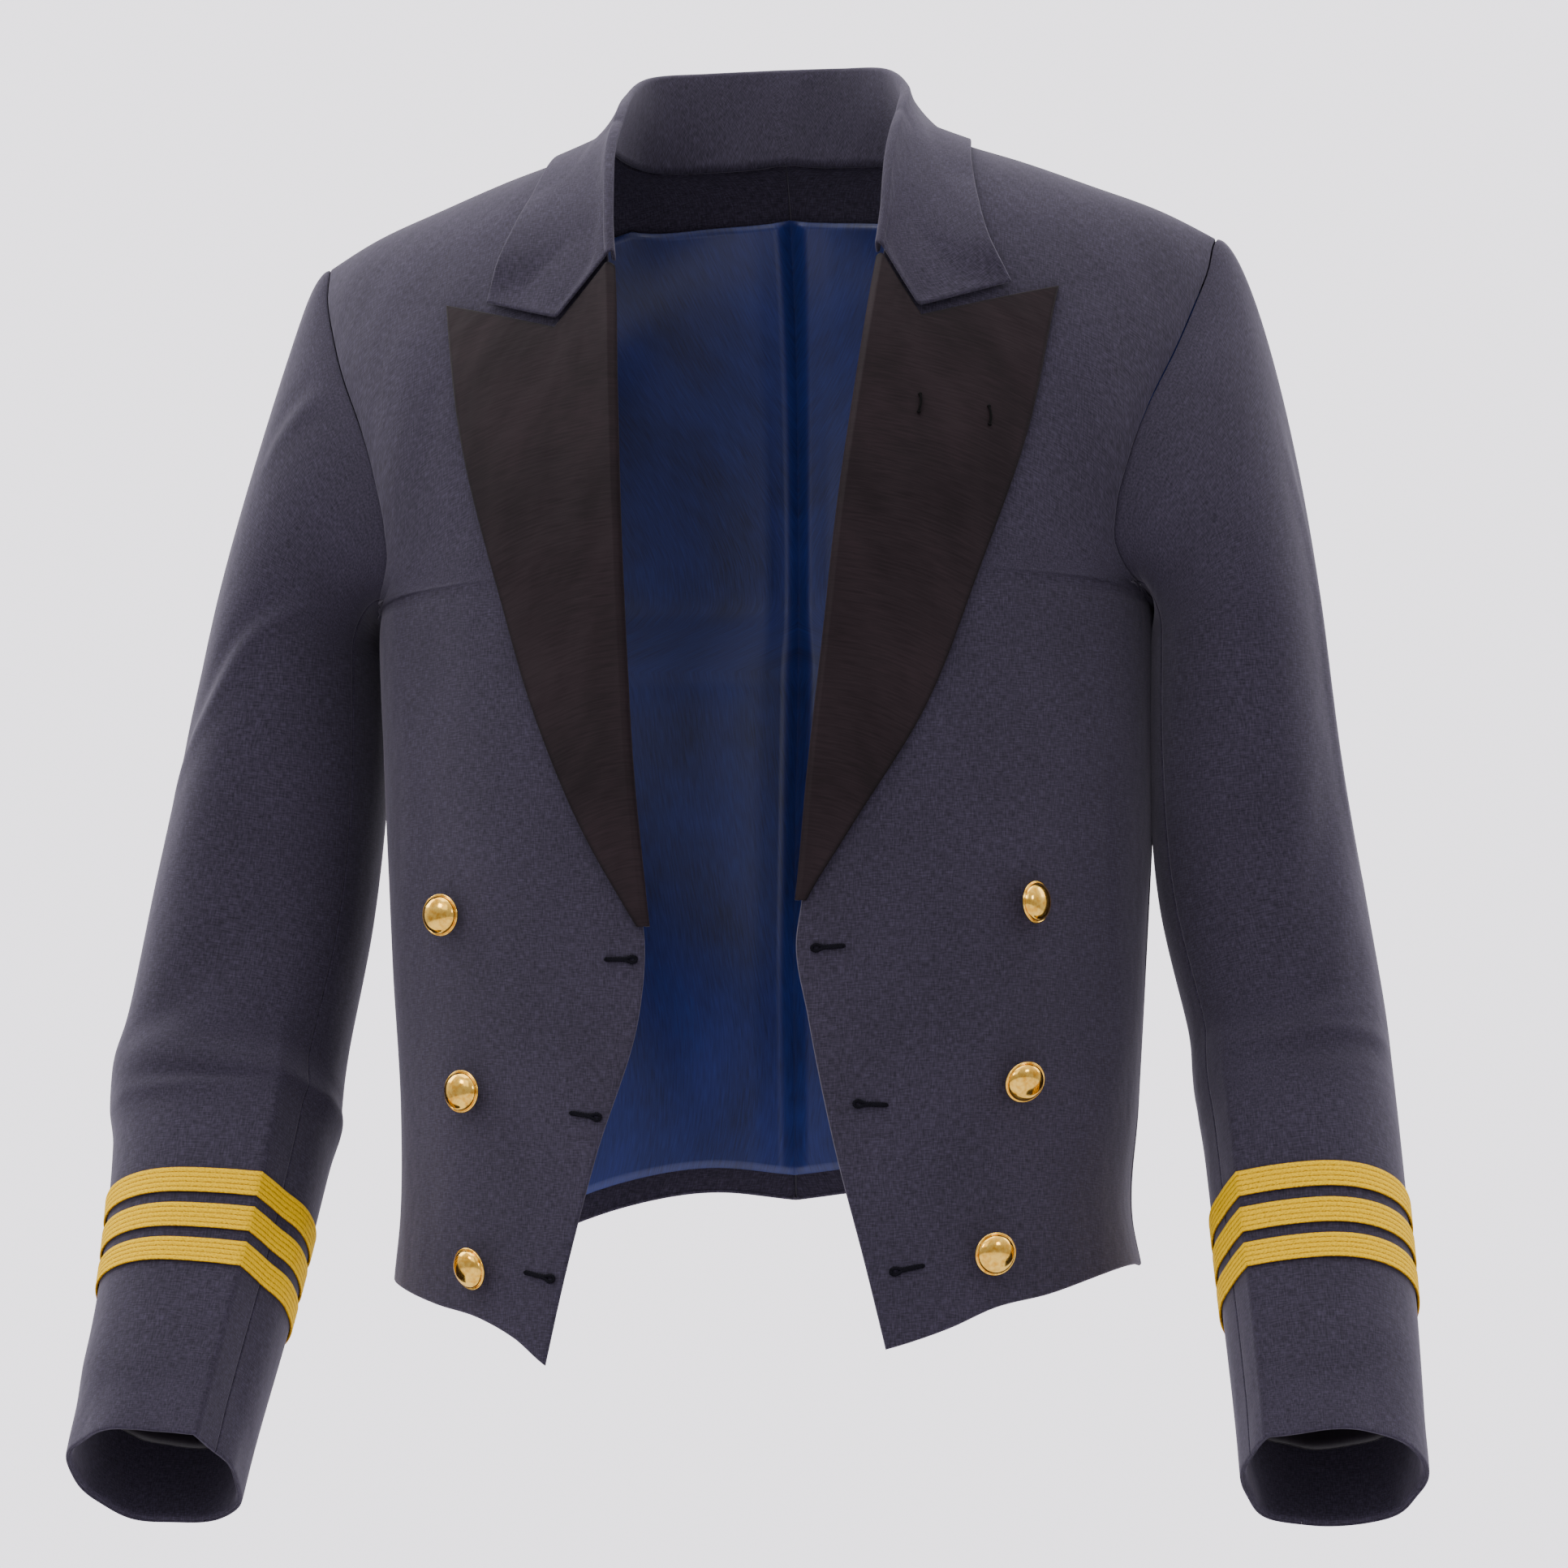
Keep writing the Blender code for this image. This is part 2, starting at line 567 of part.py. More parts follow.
def lapel_sheet(side, columns, rows):
    """The lapel with its soft roll and the turn round the front's edge."""
    seat = lapel_seat(side, columns, rows)
    out = normals_of(seat)
    breadth = np.linalg.norm(seat[:, -1] - seat[:, 0], axis=-1, keepdims=True)
    from_fold = columns * breadth
    full = np.clip(breadth / ROLL_FULL_BREADTH, ROLL_LEAST, 1)
    lift = LAPEL_LIFT + ROLL_LIFT * np.exp(-from_fold / ROLL_REACH) * full
    leaf = seat + out * (lift + fold_heights(seat, side))[..., None]
    rim, normal = seat[:, 0], out[:, 0]
    centre = np.cross(normal, np.gradient(rim, axis=0))
    centre = -centre / np.linalg.norm(centre, axis=-1, keepdims=True)
    centre = centre * np.where(centre[:, :1] > 0, -1, 1)
    turn = [rim + centre * across + normal * up for across, up in FOLD_TURN]
    return np.concatenate([np.stack(turn, 1), leaf], 1)


def build_lapels():
    """The turned-back lapels, lying just clear of the fronts."""
    rows = np.concatenate([[0.012, 0.05], np.linspace(0.1, 0.9, 9), [0.965, 0.99, 1]])
    rows = rows * 0.997
    columns = np.array([0.0, 0.10, 0.22, 0.36, 0.447, 0.56, 0.70, 0.85, 0.98, 1.0])
    for side in SIDES:
        wall("lapel_" + side, lapel_sheet(side, columns, rows), CLOTH, LAPEL_FINISH, side)


def collar_lines(side, u):
    """Lines along the collar: its root, fold, middle and edge, and the way out of the stand."""
    knots = [row.u for row in COLLAR]
    fold_start = (front_edge[side](GORGE_Z) - STAND_INSET, GORGE_Z + GORGE_GAP)
    starts = (fold_start, (NOTCH[0], NOTCH[1] + GORGE_GAP), COLLAR_CORNER[side])
    lines = []
    leaning = np.clip((u - LEAN_FROM) / (LEAN_FULL - LEAN_FROM), 0, 1)
    leaning = leaning * leaning * (3 - 2 * leaning)
    for key, (x, z) in zip(("fold", "middle", "edge"), starts):
        places = np.array([getattr(row, key) for row in COLLAR])
        places[0] = (x, places[0, 1], z)
        line = np.stack([through(knots, places[:, k])(u) for k in range(3)], -1)
        line[:, 0] -= SIDES[side] * COLLAR_LEAN[key] * leaning
        lines.append(line)
    neck, out, into = neckline(side, u)
    root = neck + into * STAND_INSET - out * ROOT_DEPTH
    at_front = np.exp(-((u / FRONT_END) ** 2))[:, None]
    lines[0] = lines[0] + (neck + into * STAND_INSET + out * STAND_INSET - lines[0]) * at_front
    lines[0][:, 0] = np.where(u < FOLD_KEPT, np.minimum(lines[0][:, 0], root[:, 0]), lines[0][:, 0])
    outwards = (lines[1] - root) * (1, 1, 0.3)
    outwards /= np.linalg.norm(outwards, axis=-1, keepdims=True)
    return root, outwards, *lines


def collar_half(side, u):
    """Half of the collar, a row for each station and a column for each step across it."""
    root, outwards, fold, middle, edge = collar_lines(side, u)
    rise = fold - root
    length = np.linalg.norm(rise, axis=-1, keepdims=True)
    rise /= length
    under = fold - rise * np.minimum(COLLAR_ROLL, 0.4 * length)
    stand = [root + (under - root) * s for s in STAND_STEPS]
    roll = [fold + outwards * COLLAR_ROLL * ROLL_TOP]
    start = under + outwards * COLLAR_ROLL * ROLL_ACROSS
    straight = np.exp(-((u / STRAIGHT_END) ** 2))[:, None]
    fall = []
    for s in FALL_STEPS:
        curved = start * (1 - s) * (1 - 2 * s) + middle * 4 * s * (1 - s) + edge * s * (2 * s - 1)
        low = s < NOTCH_STEP
        share = s / NOTCH_STEP if low else (s - NOTCH_STEP) / (1 - NOTCH_STEP)
        kinked = start + (middle - start) * share if low else middle + (edge - middle) * share
        point = kinked * straight + curved * (1 - straight)
        lift = COLLAR_LIFT * (1 + 0.7 * (1 - s))
        laid = torso_at(side, point[..., 0], point[..., 2]) - np.array([0, 1, 0]) * lift * 1.15
        point = laid * straight + point * (1 - straight)
        fall.append(outside_body(point, lift))
    return np.stack(stand + roll + fall, 1)


def build_collar():
    """One collar, stand and fall, round the neck between the two gorges."""
    u = np.concatenate([[0.012, 0.024], np.linspace(0.07, 1, 11)])
    left = collar_half("left", u)
    right = collar_half("right", u) * (-1, 1, 1)
    grid = np.concatenate([right[:-1], left[::-1]])
    wall("collar", grid[:, ::-1], CLOTH, CLOTH_FINISH)


def armhole_ring(side, angles):
    """The body's armhole, from the shoulder (0) by the front to the underarm (pi) and back."""
    w = 0.5 - 0.5 * np.cos(np.linspace(0, math.pi, 80))
    sweep = []
    for face, levels in (("front", w[::-1]), ("back", w)):
        sweep.append(upper_torso(armhole[face](levels), levels, face))
    places = []
    for half, curve in enumerate(sweep):
        steps = np.linalg.norm(np.diff(curve, axis=0), axis=-1)
        arc = np.concatenate([[0], np.cumsum(steps)])
        arc = (arc / arc[-1] + half) * math.pi
        places.append(np.stack([np.interp(angles, arc, curve[:, k]) for k in range(3)], -1))
    ring = np.where((angles <= math.pi)[:, None], places[0], places[1])
    return ring + np.array([ARMHOLE_OFFSET, 0, 0])


def sleeve_track(key):
    """One column of the sleeve's table, from the upper arm (0) to the cuff (1)."""
    return through(np.linspace(0, 1, len(SLEEVE)), [getattr(row, key) for row in SLEEVE])


def sleeve_ring(side, t, angles):
    """One section of the sleeve tube below the armhole, t from 0 (upper arm) to 1 (cuff)."""

    def centre(s):
        return np.array([sleeve_track(key)(s) for key in (side, "y", "z")])

    step = 0.02
    axis = centre(min(t + step, 1)) - centre(max(t - step, 0))
    axis /= np.linalg.norm(axis)
    axis = axis if t > 0 else np.array([0.0, 0.0, -1.0])
    front = np.cross(axis, [1.0, 0.0, 0.0])
    front = front * (-1 if front[1] > 0 else 1)
    front /= np.linalg.norm(front)
    out = np.cross(front, axis)
    out = out * (1 if out[0] > 0 else -1)
    half, depth = sleeve_track(side + "_half")(t), sleeve_track(side + "_depth")(t)
    c, s = np.cos(angles), np.sin(angles)
    power = 2 / SLEEVE_POWER
    along_out = np.sign(c) * np.abs(c) ** power * half
    along_front = np.sign(s) * np.abs(s) ** power * depth
    pressed = PRESS_HEIGHT * min(max((t - PRESS_FROM) / PRESS_OVER, 0), 1)
    press = 1 + pressed * np.exp(-np.abs(angles - PRESSED_EDGE) / PRESS_SPREAD)
    ring = along_out[:, None] * out + along_front[:, None] * front
    return centre(t) + ring * press[:, None]


def sleeve_cap(side, s, angles):
    """A row of the sleeve head between the armhole (0) and the upper arm (1)."""
    start = armhole_ring(side, angles)
    end = sleeve_ring(side, 0.0, angles)
    low = sleeve_ring(side, 0.03, angles)
    down = low - end
    down /= np.linalg.norm(down, axis=-1, keepdims=True)
    length = np.linalg.norm(end - start, axis=-1, keepdims=True)
    under = ((1 - np.cos(angles)) / 2)[:, None]
    leave = start + np.array(LEAVE_WAY) * length * (LEAVE + LEAVE_UNDER * under)
    arrive = end - down * length * (ARRIVE - ARRIVE_UNDER * under)
    return (
        start * (1 - s) ** 3
        + 3 * leave * s * (1 - s) ** 2
        + 3 * arrive * s * s * (1 - s)
        + end * s ** 3
    )


def sleeve_rows(side, along, angles):
    """Sleeve points for places along it: the head up to CAP_SHARE, then the tube to 1."""
    rows = []
    for place in along:
        if place < CAP_SHARE:
            rows.append(sleeve_cap(side, place / CAP_SHARE, angles))
        else:
            rows.append(sleeve_ring(side, (place - CAP_SHARE) / (1 - CAP_SHARE), angles))
    grid = np.stack(rows)
    height = np.zeros(grid.shape[:2])
    u = np.asarray(along)[:, None] * FOLD_LENGTH
    for fold in SLEEVE_FOLDS:
        if fold.side != side:
            continue
        middle = math.radians((fold.angle0 + fold.angle1) / 2)
        turned = (angles - middle + math.pi) % (2 * math.pi) - math.pi
        half = math.radians(fold.angle1 - fold.angle0) / 2
        start = (fold.along0 * FOLD_LENGTH, -half * FOLD_GIRTH)
        end = (fold.along1 * FOLD_LENGTH, half * FOLD_GIRTH)
        height += segment_bump(u, turned[None] * FOLD_GIRTH, start, end, fold.width, fold.depth)
    return grid + sleeve_normals(side, grid) * height[..., None]


def sleeve_normals(side, grid):
    """Directions straight out of the sleeve, from each row's middle line."""
    out = -normals_of(grid)
    middle = grid.mean(axis=1, keepdims=True)
    turned = (out * (grid - middle)).sum(-1).mean() < 0
    return -out if turned else out


def cuff_place(side, distance):
    """Place along the sleeve at a distance from the cuff's edge."""
    t = np.linspace(1, 0, 400)
    line = np.stack([sleeve_track(key)(t) for key in (side, "y", "z")], -1)
    arc = np.concatenate([[0], np.cumsum(np.linalg.norm(np.diff(line, axis=0), axis=-1))])
    return CAP_SHARE + (1 - CAP_SHARE) * np.interp(distance, arc, t)


CAP_ALONG = np.array(CAP_ROWS) * CAP_SHARE
SLEEVE_ALONG = np.concatenate([CAP_ALONG, np.linspace(CAP_SHARE, 1, 14)[:-1], [0.996, 1.0]])
SEAM_TURN = 0.0022
SEAM_RIM = 0.03


def sleeve_angles():
    """Angles of the top sleeve and of the under sleeve, with short steps at their seams."""
    hind, fore = HINDARM_SEAM - 2 * math.pi, FOREARM_SEAM
    inner = np.linspace(hind, PRESSED_EDGE, 14)[1:]
    top = np.concatenate([[hind + SEAM_TURN, hind + SEAM_RIM], inner, [fore - SEAM_RIM, fore - SEAM_TURN]])
    hind = HINDARM_SEAM
    inner = np.linspace(fore, hind, 7)[1:-1]
    under = np.concatenate([[fore + SEAM_TURN, fore + SEAM_RIM], inner, [hind - SEAM_RIM, hind - SEAM_TURN]])
    return top, under


def build_sleeves():
    """Top sleeve and under sleeve of each arm."""
    for side in SIDES:
        for name, angles in zip(("topsleeve_", "undersleeve_"), sleeve_angles()):
            grid = sleeve_rows(side, SLEEVE_ALONG, angles % (2 * math.pi))
            wall(name + side, grid, CLOTH, CLOTH_FINISH, side)


def build_braid():
    """Three rings of braid round each sleeve, just clear of the cloth."""
    top, under = sleeve_angles()
    angles = np.concatenate([top[:1], top[2:-2], [FOREARM_SEAM], under[2:-2]]) % (2 * math.pi)
    for side in SIDES:
        for number in (1, 2, 3):
            low = BRAID_FROM_CUFF[side] + (3 - number) * BRAID_PITCH
            places = [cuff_place(side, low + BRAID_WIDTH), cuff_place(side, low)]
            grid = sleeve_rows(side, places, angles)
            middle = grid.mean(axis=1, keepdims=True)
            out = grid - middle
            out /= np.linalg.norm(out, axis=-1, keepdims=True)
            grid = grid + out * (BRAID + 2 * SEAM_GAP)
            wall(f"cuff_braid_{side}_{number}", grid, BRAID, BRAID_FINISH, side, closed=True)


def build_linings():
    """Linings of the body and the sleeves, just inside the cloth."""
    rows = np.array([0.955, 0.925, 0.87, 0.80, 0.66, 0.48, 0.30, 0.10])
    upper = np.array([0.12, 0.25, 0.42, 0.60, 0.76, 0.88])
    ring = np.linspace(0, 2 * math.pi, 15)
    for side in SIDES:
        for face, grid in (
            ("front", front_grid(side, np.linspace(0.09, 0.945, 9), rows, upper)),
            ("back", back_grid(side, np.linspace(0.012, 0.965, 9), rows, upper)),
        ):
            inside = np.full(grid.shape[:2], LINING_INSIDE)
            inside[:, -1 if face == "front" else 0] += SIDE_EASE
            sheet = moved_out(grid, -inside)
            wall(f"lining_{face}_{side}", sheet, LINING, LINING_FINISH, side)
        along = np.append(np.linspace(0.10, 0.88, 11), cuff_place(side, TURN_UP))
        grid = sleeve_rows(side, along, ring)
        inner = grid - sleeve_normals(side, grid) * SLEEVE_LINING_INSIDE
        wall("lining_sleeve_" + side, inner[:, :-1], LINING, LINING_FINISH, side, closed=True)


def button_profile():
    """Half section of a button on its shank, from the top of the dome to the foot."""
    dome = []
    for step in range(DOME_STEPS + 1):
        angle = math.radians(90 * step / DOME_STEPS)
        dome.append((0.92 * BUTTON_RADIUS * math.sin(angle), BUTTON_RIM + BUTTON_DOME * math.cos(angle)))
    rim = [(BUTTON_RADIUS, BUTTON_RIM * 0.9), (BUTTON_RADIUS, BUTTON_RIM * 0.2), (0.9 * BUTTON_RADIUS, 0.0)]
    shank = [(SHANK_RADIUS, -0.6 * MM), (SHANK_RADIUS, -SHANK_LENGTH), (0.0, -SHANK_LENGTH)]
    return dome + rim + shank


def build_buttons():
    """Six buttons, each seated on its front and tilted as it hangs."""
    for row in BUTTONS:
        name = f"button_{row.side}_{row.number}"
        points = [(r, 0.0, h) for r, h in button_profile()]
        mesh = bpy.data.meshes.new(name)
        mesh.from_pydata(points, [(i, i + 1) for i in range(len(points) - 1)], [])
        obj = bpy.data.objects.new(name, mesh)
        mesh.materials.append(material(BRASS_FINISH, name))
        parts.objects.link(obj)
        screw = obj.modifiers.new("turned", "SCREW")
        screw.axis = "Z"
        screw.steps = BUTTON_SIDES
        screw.render_steps = BUTTON_SIDES
        screw.use_merge_vertices = True
        screw.merge_threshold = 0.00001
        screw.use_normal_calculate = True
        obj.matrix_world = button_place(row)


def button_place(row):
    """Where a button stands: its foot just clear of the cloth, its axis turned and nodded."""
    sign = SIDES[row.side]
    patch_x = row.x + np.array([-1, 0, 1])[:, None] * 2 * MM
    patch_z = row.z + np.array([-1, 0, 1])[None] * 2 * MM
    patch = torso_at(row.side, patch_x, patch_z)
    patch = patch + np.array([0, -SEAM_GAP / 2, 0])
    across, up = patch[2, 1] - patch[0, 1], patch[1, 2] - patch[1, 0]
    normal = np.cross(across, up)
    normal /= np.linalg.norm(normal)
    seat = Vector(patch[1, 1] * (sign, 1, 1))
    out = Vector(normal * (sign, 1, 1))
    turn = Matrix.Rotation(sign * math.radians(row.turn), 3, "Z")
    side_axis = out.cross(Vector((0, 0, 1))).normalized()
    nod = Matrix.Rotation(-math.radians(row.nod), 3, side_axis)
    axis = (nod @ turn @ out).normalized()
    tilt = axis.angle(out)
    foot_clearance = SHANK_RADIUS * math.sin(tilt) + 1.4 * SEAM_GAP
    height = foot_clearance + fold_at(row)
    place = seat + out * height + axis * SHANK_LENGTH
    return Matrix.Translation(place) @ axis.to_track_quat("Z", "Y").to_matrix().to_4x4()


def fold_at(row):
    """Height of the front's folds under a button."""
    point = np.array([[[row.x, 0.0, row.z]]])
    return float(fold_heights(point, row.side)[0, 0])


clear_scene()
parts = bpy.data.collections.new("mess_jacket")
bpy.context.scene.collection.children.link(parts)
build_fronts()
build_backs()
build_lapels()
build_collar()
build_sleeves()
build_braid()
build_linings()
build_buttons()
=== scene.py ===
"""Dressed look of the mess jacket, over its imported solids.

Metres, +Z up. The jacket faces -Y and +X is the wearer's left. Every garment piece is a sheet of
points on one of two forms, the torso and the sleeve, worked out as whole arrays, with its creases
added as heights along the normals and a wall given to it by a Solidify modifier.
"""

import logging
import math
from dataclasses import dataclass, field
from enum import Enum
from typing import Any, Callable, NamedTuple, Sequence

import bpy
import numpy as np
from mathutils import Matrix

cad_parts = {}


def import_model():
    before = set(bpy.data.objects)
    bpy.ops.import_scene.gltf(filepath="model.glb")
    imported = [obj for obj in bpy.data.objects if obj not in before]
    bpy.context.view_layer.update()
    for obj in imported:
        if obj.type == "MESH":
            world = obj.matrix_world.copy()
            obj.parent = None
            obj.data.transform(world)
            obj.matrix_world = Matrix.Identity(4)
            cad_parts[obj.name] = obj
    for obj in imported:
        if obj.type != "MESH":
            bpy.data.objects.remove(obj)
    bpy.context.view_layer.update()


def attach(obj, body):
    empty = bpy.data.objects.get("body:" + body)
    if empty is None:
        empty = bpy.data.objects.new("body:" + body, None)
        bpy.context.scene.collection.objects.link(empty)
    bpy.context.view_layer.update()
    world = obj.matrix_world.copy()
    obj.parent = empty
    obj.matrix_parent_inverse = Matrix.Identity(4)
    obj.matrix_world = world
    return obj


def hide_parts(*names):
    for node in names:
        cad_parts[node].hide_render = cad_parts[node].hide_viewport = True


MM = 0.001
PHOTO_SIZE = 1932
SENSOR_MM = 36.0
Curve = Callable[[Any], np.ndarray]
log = logging.getLogger("mess_jacket")


class Side(Enum):
    """Side of the wearer."""

    RIGHT = "right"
    LEFT = "left"

    @property
    def sign(self) -> float:
        """-1 on the wearer's right, where x is negative, and 1 on the left."""
        return -1.0 if self is Side.RIGHT else 1.0


class Face(Enum):
    """Front or back of the torso form."""

    FRONT = "front"
    BACK = "back"


# Forms: sizes


class Section(NamedTuple):
    """Torso section below the chest: half widths of both sides, and depths."""

    z: float
    right: float
    left: float
    front: float
    back: float


class Level(NamedTuple):
    """Level of the upper torso, w from the chest (0) to the shoulder ridge (1)."""

    w: float
    half_width: float
    armhole_front: float
    armhole_back: float


class RidgePoint(NamedTuple):
    """Height of the shoulder ridge at a distance from the middle."""

    x: float
    z: float


class EdgePoint(NamedTuple):
    """Distance of an edge from the middle at a height, for both sides."""

    z: float
    right: float
    left: float


class HemPoint(NamedTuple):
    """Height of the hem at a share of the half width, for both sides."""

    share: float
    right: float
    left: float


class At(NamedTuple):
    """A place."""

    x: float
    y: float
    z: float


class CollarStation(NamedTuple):
    """Collar places at u, from its front end (0) to the middle of the back (1).

    The first station only gives y: its x and z come from gorge, notch and corner.
    """

    u: float
    fold: At
    middle: At
    edge: At


class SleeveRow(NamedTuple):
    """Sleeve section: its middle, half widths and depths, for both sides."""

    z: float
    y: float
    right: float
    left: float
    right_half: float
    left_half: float
    right_depth: float
    left_depth: float


SECTIONS = (
    Section(-0.650, 0.1850, 0.1860, 0.143, 0.114),
    Section(-0.582, 0.1840, 0.1862, 0.137, 0.110),
    Section(-0.556, 0.1814, 0.1815, 0.135, 0.108),
    Section(-0.500, 0.1812, 0.1850, 0.131, 0.104),
    Section(-0.430, 0.1870, 0.1895, 0.128, 0.101),
    Section(-0.340, 0.1925, 0.1945, 0.131, 0.110),
    Section(-0.250, 0.1960, 0.1960, 0.132, 0.122),
)
LEVELS = (
    Level(0.00, 0.1960, 1.000, 1.000),
    Level(0.03, 0.1970, 0.950, 0.965),
    Level(0.08, 0.1990, 0.908, 0.935),
    Level(0.17, 0.2040, 0.884, 0.915),
    Level(0.30, 0.2120, 0.882, 0.910),
    Level(0.45, 0.2210, 0.895, 0.916),
    Level(0.60, 0.2290, 0.917, 0.930),
    Level(0.75, 0.2325, 0.944, 0.950),
    Level(0.88, 0.2335, 0.968, 0.970),
    Level(0.96, 0.2320, 0.982, 0.983),
    Level(1.00, 0.2305, 0.994, 0.994),
)
RIDGE = (
    RidgePoint(0.0000, 0.0300),
    RidgePoint(0.0400, 0.0200),
    RidgePoint(0.0830, -0.0020),
    RidgePoint(0.1050, -0.0105),
    RidgePoint(0.1300, -0.0190),
    RidgePoint(0.1660, -0.0330),
    RidgePoint(0.2040, -0.0485),
    RidgePoint(0.2305, -0.0630),
)
FRONT_EDGE = (
    EdgePoint(-0.630, 0.0873, 0.0770),
    EdgePoint(-0.580, 0.0765, 0.0645),
    EdgePoint(-0.530, 0.0636, 0.0512),
    EdgePoint(-0.465, 0.0437, 0.0375),
    EdgePoint(-0.430, 0.0410, 0.0318),
    EdgePoint(-0.410, 0.0430, 0.0345),
    EdgePoint(-0.350, 0.0490, 0.0405),
    EdgePoint(-0.285, 0.0530, 0.0480),
    EdgePoint(-0.220, 0.0563, 0.0550),
    EdgePoint(-0.155, 0.0600, 0.0630),
    EdgePoint(-0.090, 0.0655, 0.0705),
    EdgePoint(-0.040, 0.0750, 0.0765),
    EdgePoint(0.000, 0.0830, 0.0830),
)
LAPEL_EDGE = (
    EdgePoint(-0.426, 0.0420, 0.0300),
    EdgePoint(-0.414, 0.0490, 0.0350),
    EdgePoint(-0.379, 0.0690, 0.0560),
    EdgePoint(-0.323, 0.0935, 0.0905),
    EdgePoint(-0.250, 0.1165, 0.1185),
    EdgePoint(-0.185, 0.1350, 0.1400),
    EdgePoint(-0.103, 0.1500, 0.1550),
)
FRONT_HEM = (
    HemPoint(0.38, -0.6330, -0.6225),
    HemPoint(0.46, -0.6295, -0.6180),
    HemPoint(0.56, -0.6155, -0.6110),
    HemPoint(0.66, -0.6060, -0.6020),
    HemPoint(0.80, -0.5985, -0.5945),
    HemPoint(0.92, -0.5905, -0.5850),
    HemPoint(1.00, -0.5840, -0.5780),
)
BACK_HEM = (
    HemPoint(0.00, -0.5400, -0.5400),
    HemPoint(0.25, -0.5360, -0.5360),
    HemPoint(0.50, -0.5440, -0.5430),
    HemPoint(0.75, -0.5620, -0.5590),
    HemPoint(1.00, -0.5840, -0.5780),
)
COLLAR = (
    CollarStation(0.00, At(0.065, -0.090, -0.087), At(0.0905, -0.100, -0.120), At(0.132, -0.096, -0.107)),
    CollarStation(0.16, At(0.0675, -0.068, -0.048), At(0.089, -0.086, -0.071), At(0.1215, -0.086, -0.077)),
    CollarStation(0.34, At(0.0695, -0.033, 0.001), At(0.087, -0.046, -0.019), At(0.1105, -0.048, -0.034)),
    CollarStation(0.52, At(0.0685, 0.008, 0.029), At(0.0835, 0.004, 0.008), At(0.104, 0.005, -0.008)),
    CollarStation(0.68, At(0.060, 0.044, 0.048), At(0.073, 0.052, 0.025), At(0.088, 0.060, -0.002)),
    CollarStation(0.84, At(0.034, 0.068, 0.0565), At(0.040, 0.080, 0.033), At(0.048, 0.090, 0.006)),
    CollarStation(1.00, At(0.000, 0.075, 0.059), At(0.000, 0.087, 0.035), At(0.000, 0.097, 0.009)),
)
SLEEVE = (
    SleeveRow(-0.270, 0.000, 0.2428, 0.2400, 0.0443, 0.0415, 0.0745, 0.0775),
    SleeveRow(-0.330, 0.004, 0.2506, 0.2425, 0.0516, 0.0455, 0.0660, 0.0700),
    SleeveRow(-0.392, 0.008, 0.2611, 0.2485, 0.0559, 0.0486, 0.0570, 0.0620),
    SleeveRow(-0.456, 0.004, 0.2718, 0.2595, 0.0560, 0.0473, 0.0545, 0.0575),
    SleeveRow(-0.492, -0.005, 0.2760, 0.2620, 0.0580, 0.0485, 0.0530, 0.0550),
    SleeveRow(-0.525, -0.018, 0.2750, 0.2660, 0.0535, 0.0475, 0.0515, 0.0530),
    SleeveRow(-0.590, -0.051, 0.2765, 0.2725, 0.0475, 0.0462, 0.0475, 0.0480),
    SleeveRow(-0.645, -0.083, 0.2800, 0.2775, 0.0440, 0.0443, 0.0450, 0.0450),
    SleeveRow(-0.681, -0.105, 0.2815, 0.2800, 0.0418, 0.0430, 0.0440, 0.0435),
)

CLOTH = 2.0 * MM
LINING = 1.0 * MM
BRAID = 1.0 * MM
SEAM_GAP = 0.3 * MM
TUBE_COLUMNS = 10
EASE_ROWS = 6
EASE_SEAM = 12 * MM
EASE_ROUNDS = 24
BREAK_Z = {Side.RIGHT: -0.4255, Side.LEFT: -0.4140}
GORGE_Z = -0.0900
PEAK_Z = -0.103
NOTCH = (0.0900, -0.1225)
PRESSED_EDGE = math.radians(126)
PRESSED_HEIGHT = {Side.RIGHT: 1.5 * MM, Side.LEFT: 0.8 * MM}
CUFF_WAVE = 0.8 * MM
COLLAR_LEAN = {"fold": 7.0 * MM, "middle": 3.5 * MM, "edge": 1.0 * MM}
COLLAR_CORNER = {Side.RIGHT: (0.1285, -0.1075), Side.LEFT: (0.1345, -0.1050)}


# Curves and grids


def through(knots: Sequence[float], values: Sequence[float]) -> Curve:
    """Smooth function through a table.

    Between two rows it is the cubic that meets both values with the slopes of the neighbouring
    rows, and outside the table it keeps the end value.

    Args:
        knots: places of the rows.
        values: values of the rows.

    Returns:
        The function, for numbers or arrays.
    """
    order = np.argsort(knots)
    places = np.asarray(knots, float)[order]
    heights = np.asarray(values, float)[order]
    slopes = np.gradient(heights, places)

    def at(t: Any) -> np.ndarray:
        t = np.clip(t, places[0], places[-1])
        row = np.clip(np.searchsorted(places, t, side="right") - 1, 0, len(places) - 2)
        step = places[row + 1] - places[row]
        s = (t - places[row]) / step
        curve = s * s * (3 - 2 * s) * (heights[row + 1] - heights[row])
        start = slopes[row] * step
        end = slopes[row + 1] * step
        return heights[row] + curve + s * (1 - s) ** 2 * start - s * s * (1 - s) * end

    return at


def column(rows: Sequence[Any], key: str, value: str) -> Curve:
    """Smooth function from one named column of a table to another."""
    return through([getattr(r, key) for r in rows], [getattr(r, value) for r in rows])


def smooth_step(t: np.ndarray) -> np.ndarray:
    """0 below 0, 1 above 1, and 3t^2 - 2t^3 between."""
    t = np.clip(t, 0, 1)
    return t * t * (3 - 2 * t)


def unit(vectors: np.ndarray) -> np.ndarray:
    """The vectors divided by their lengths."""
    return vectors / np.maximum(np.linalg.norm(vectors, axis=-1, keepdims=True), 1e-12)


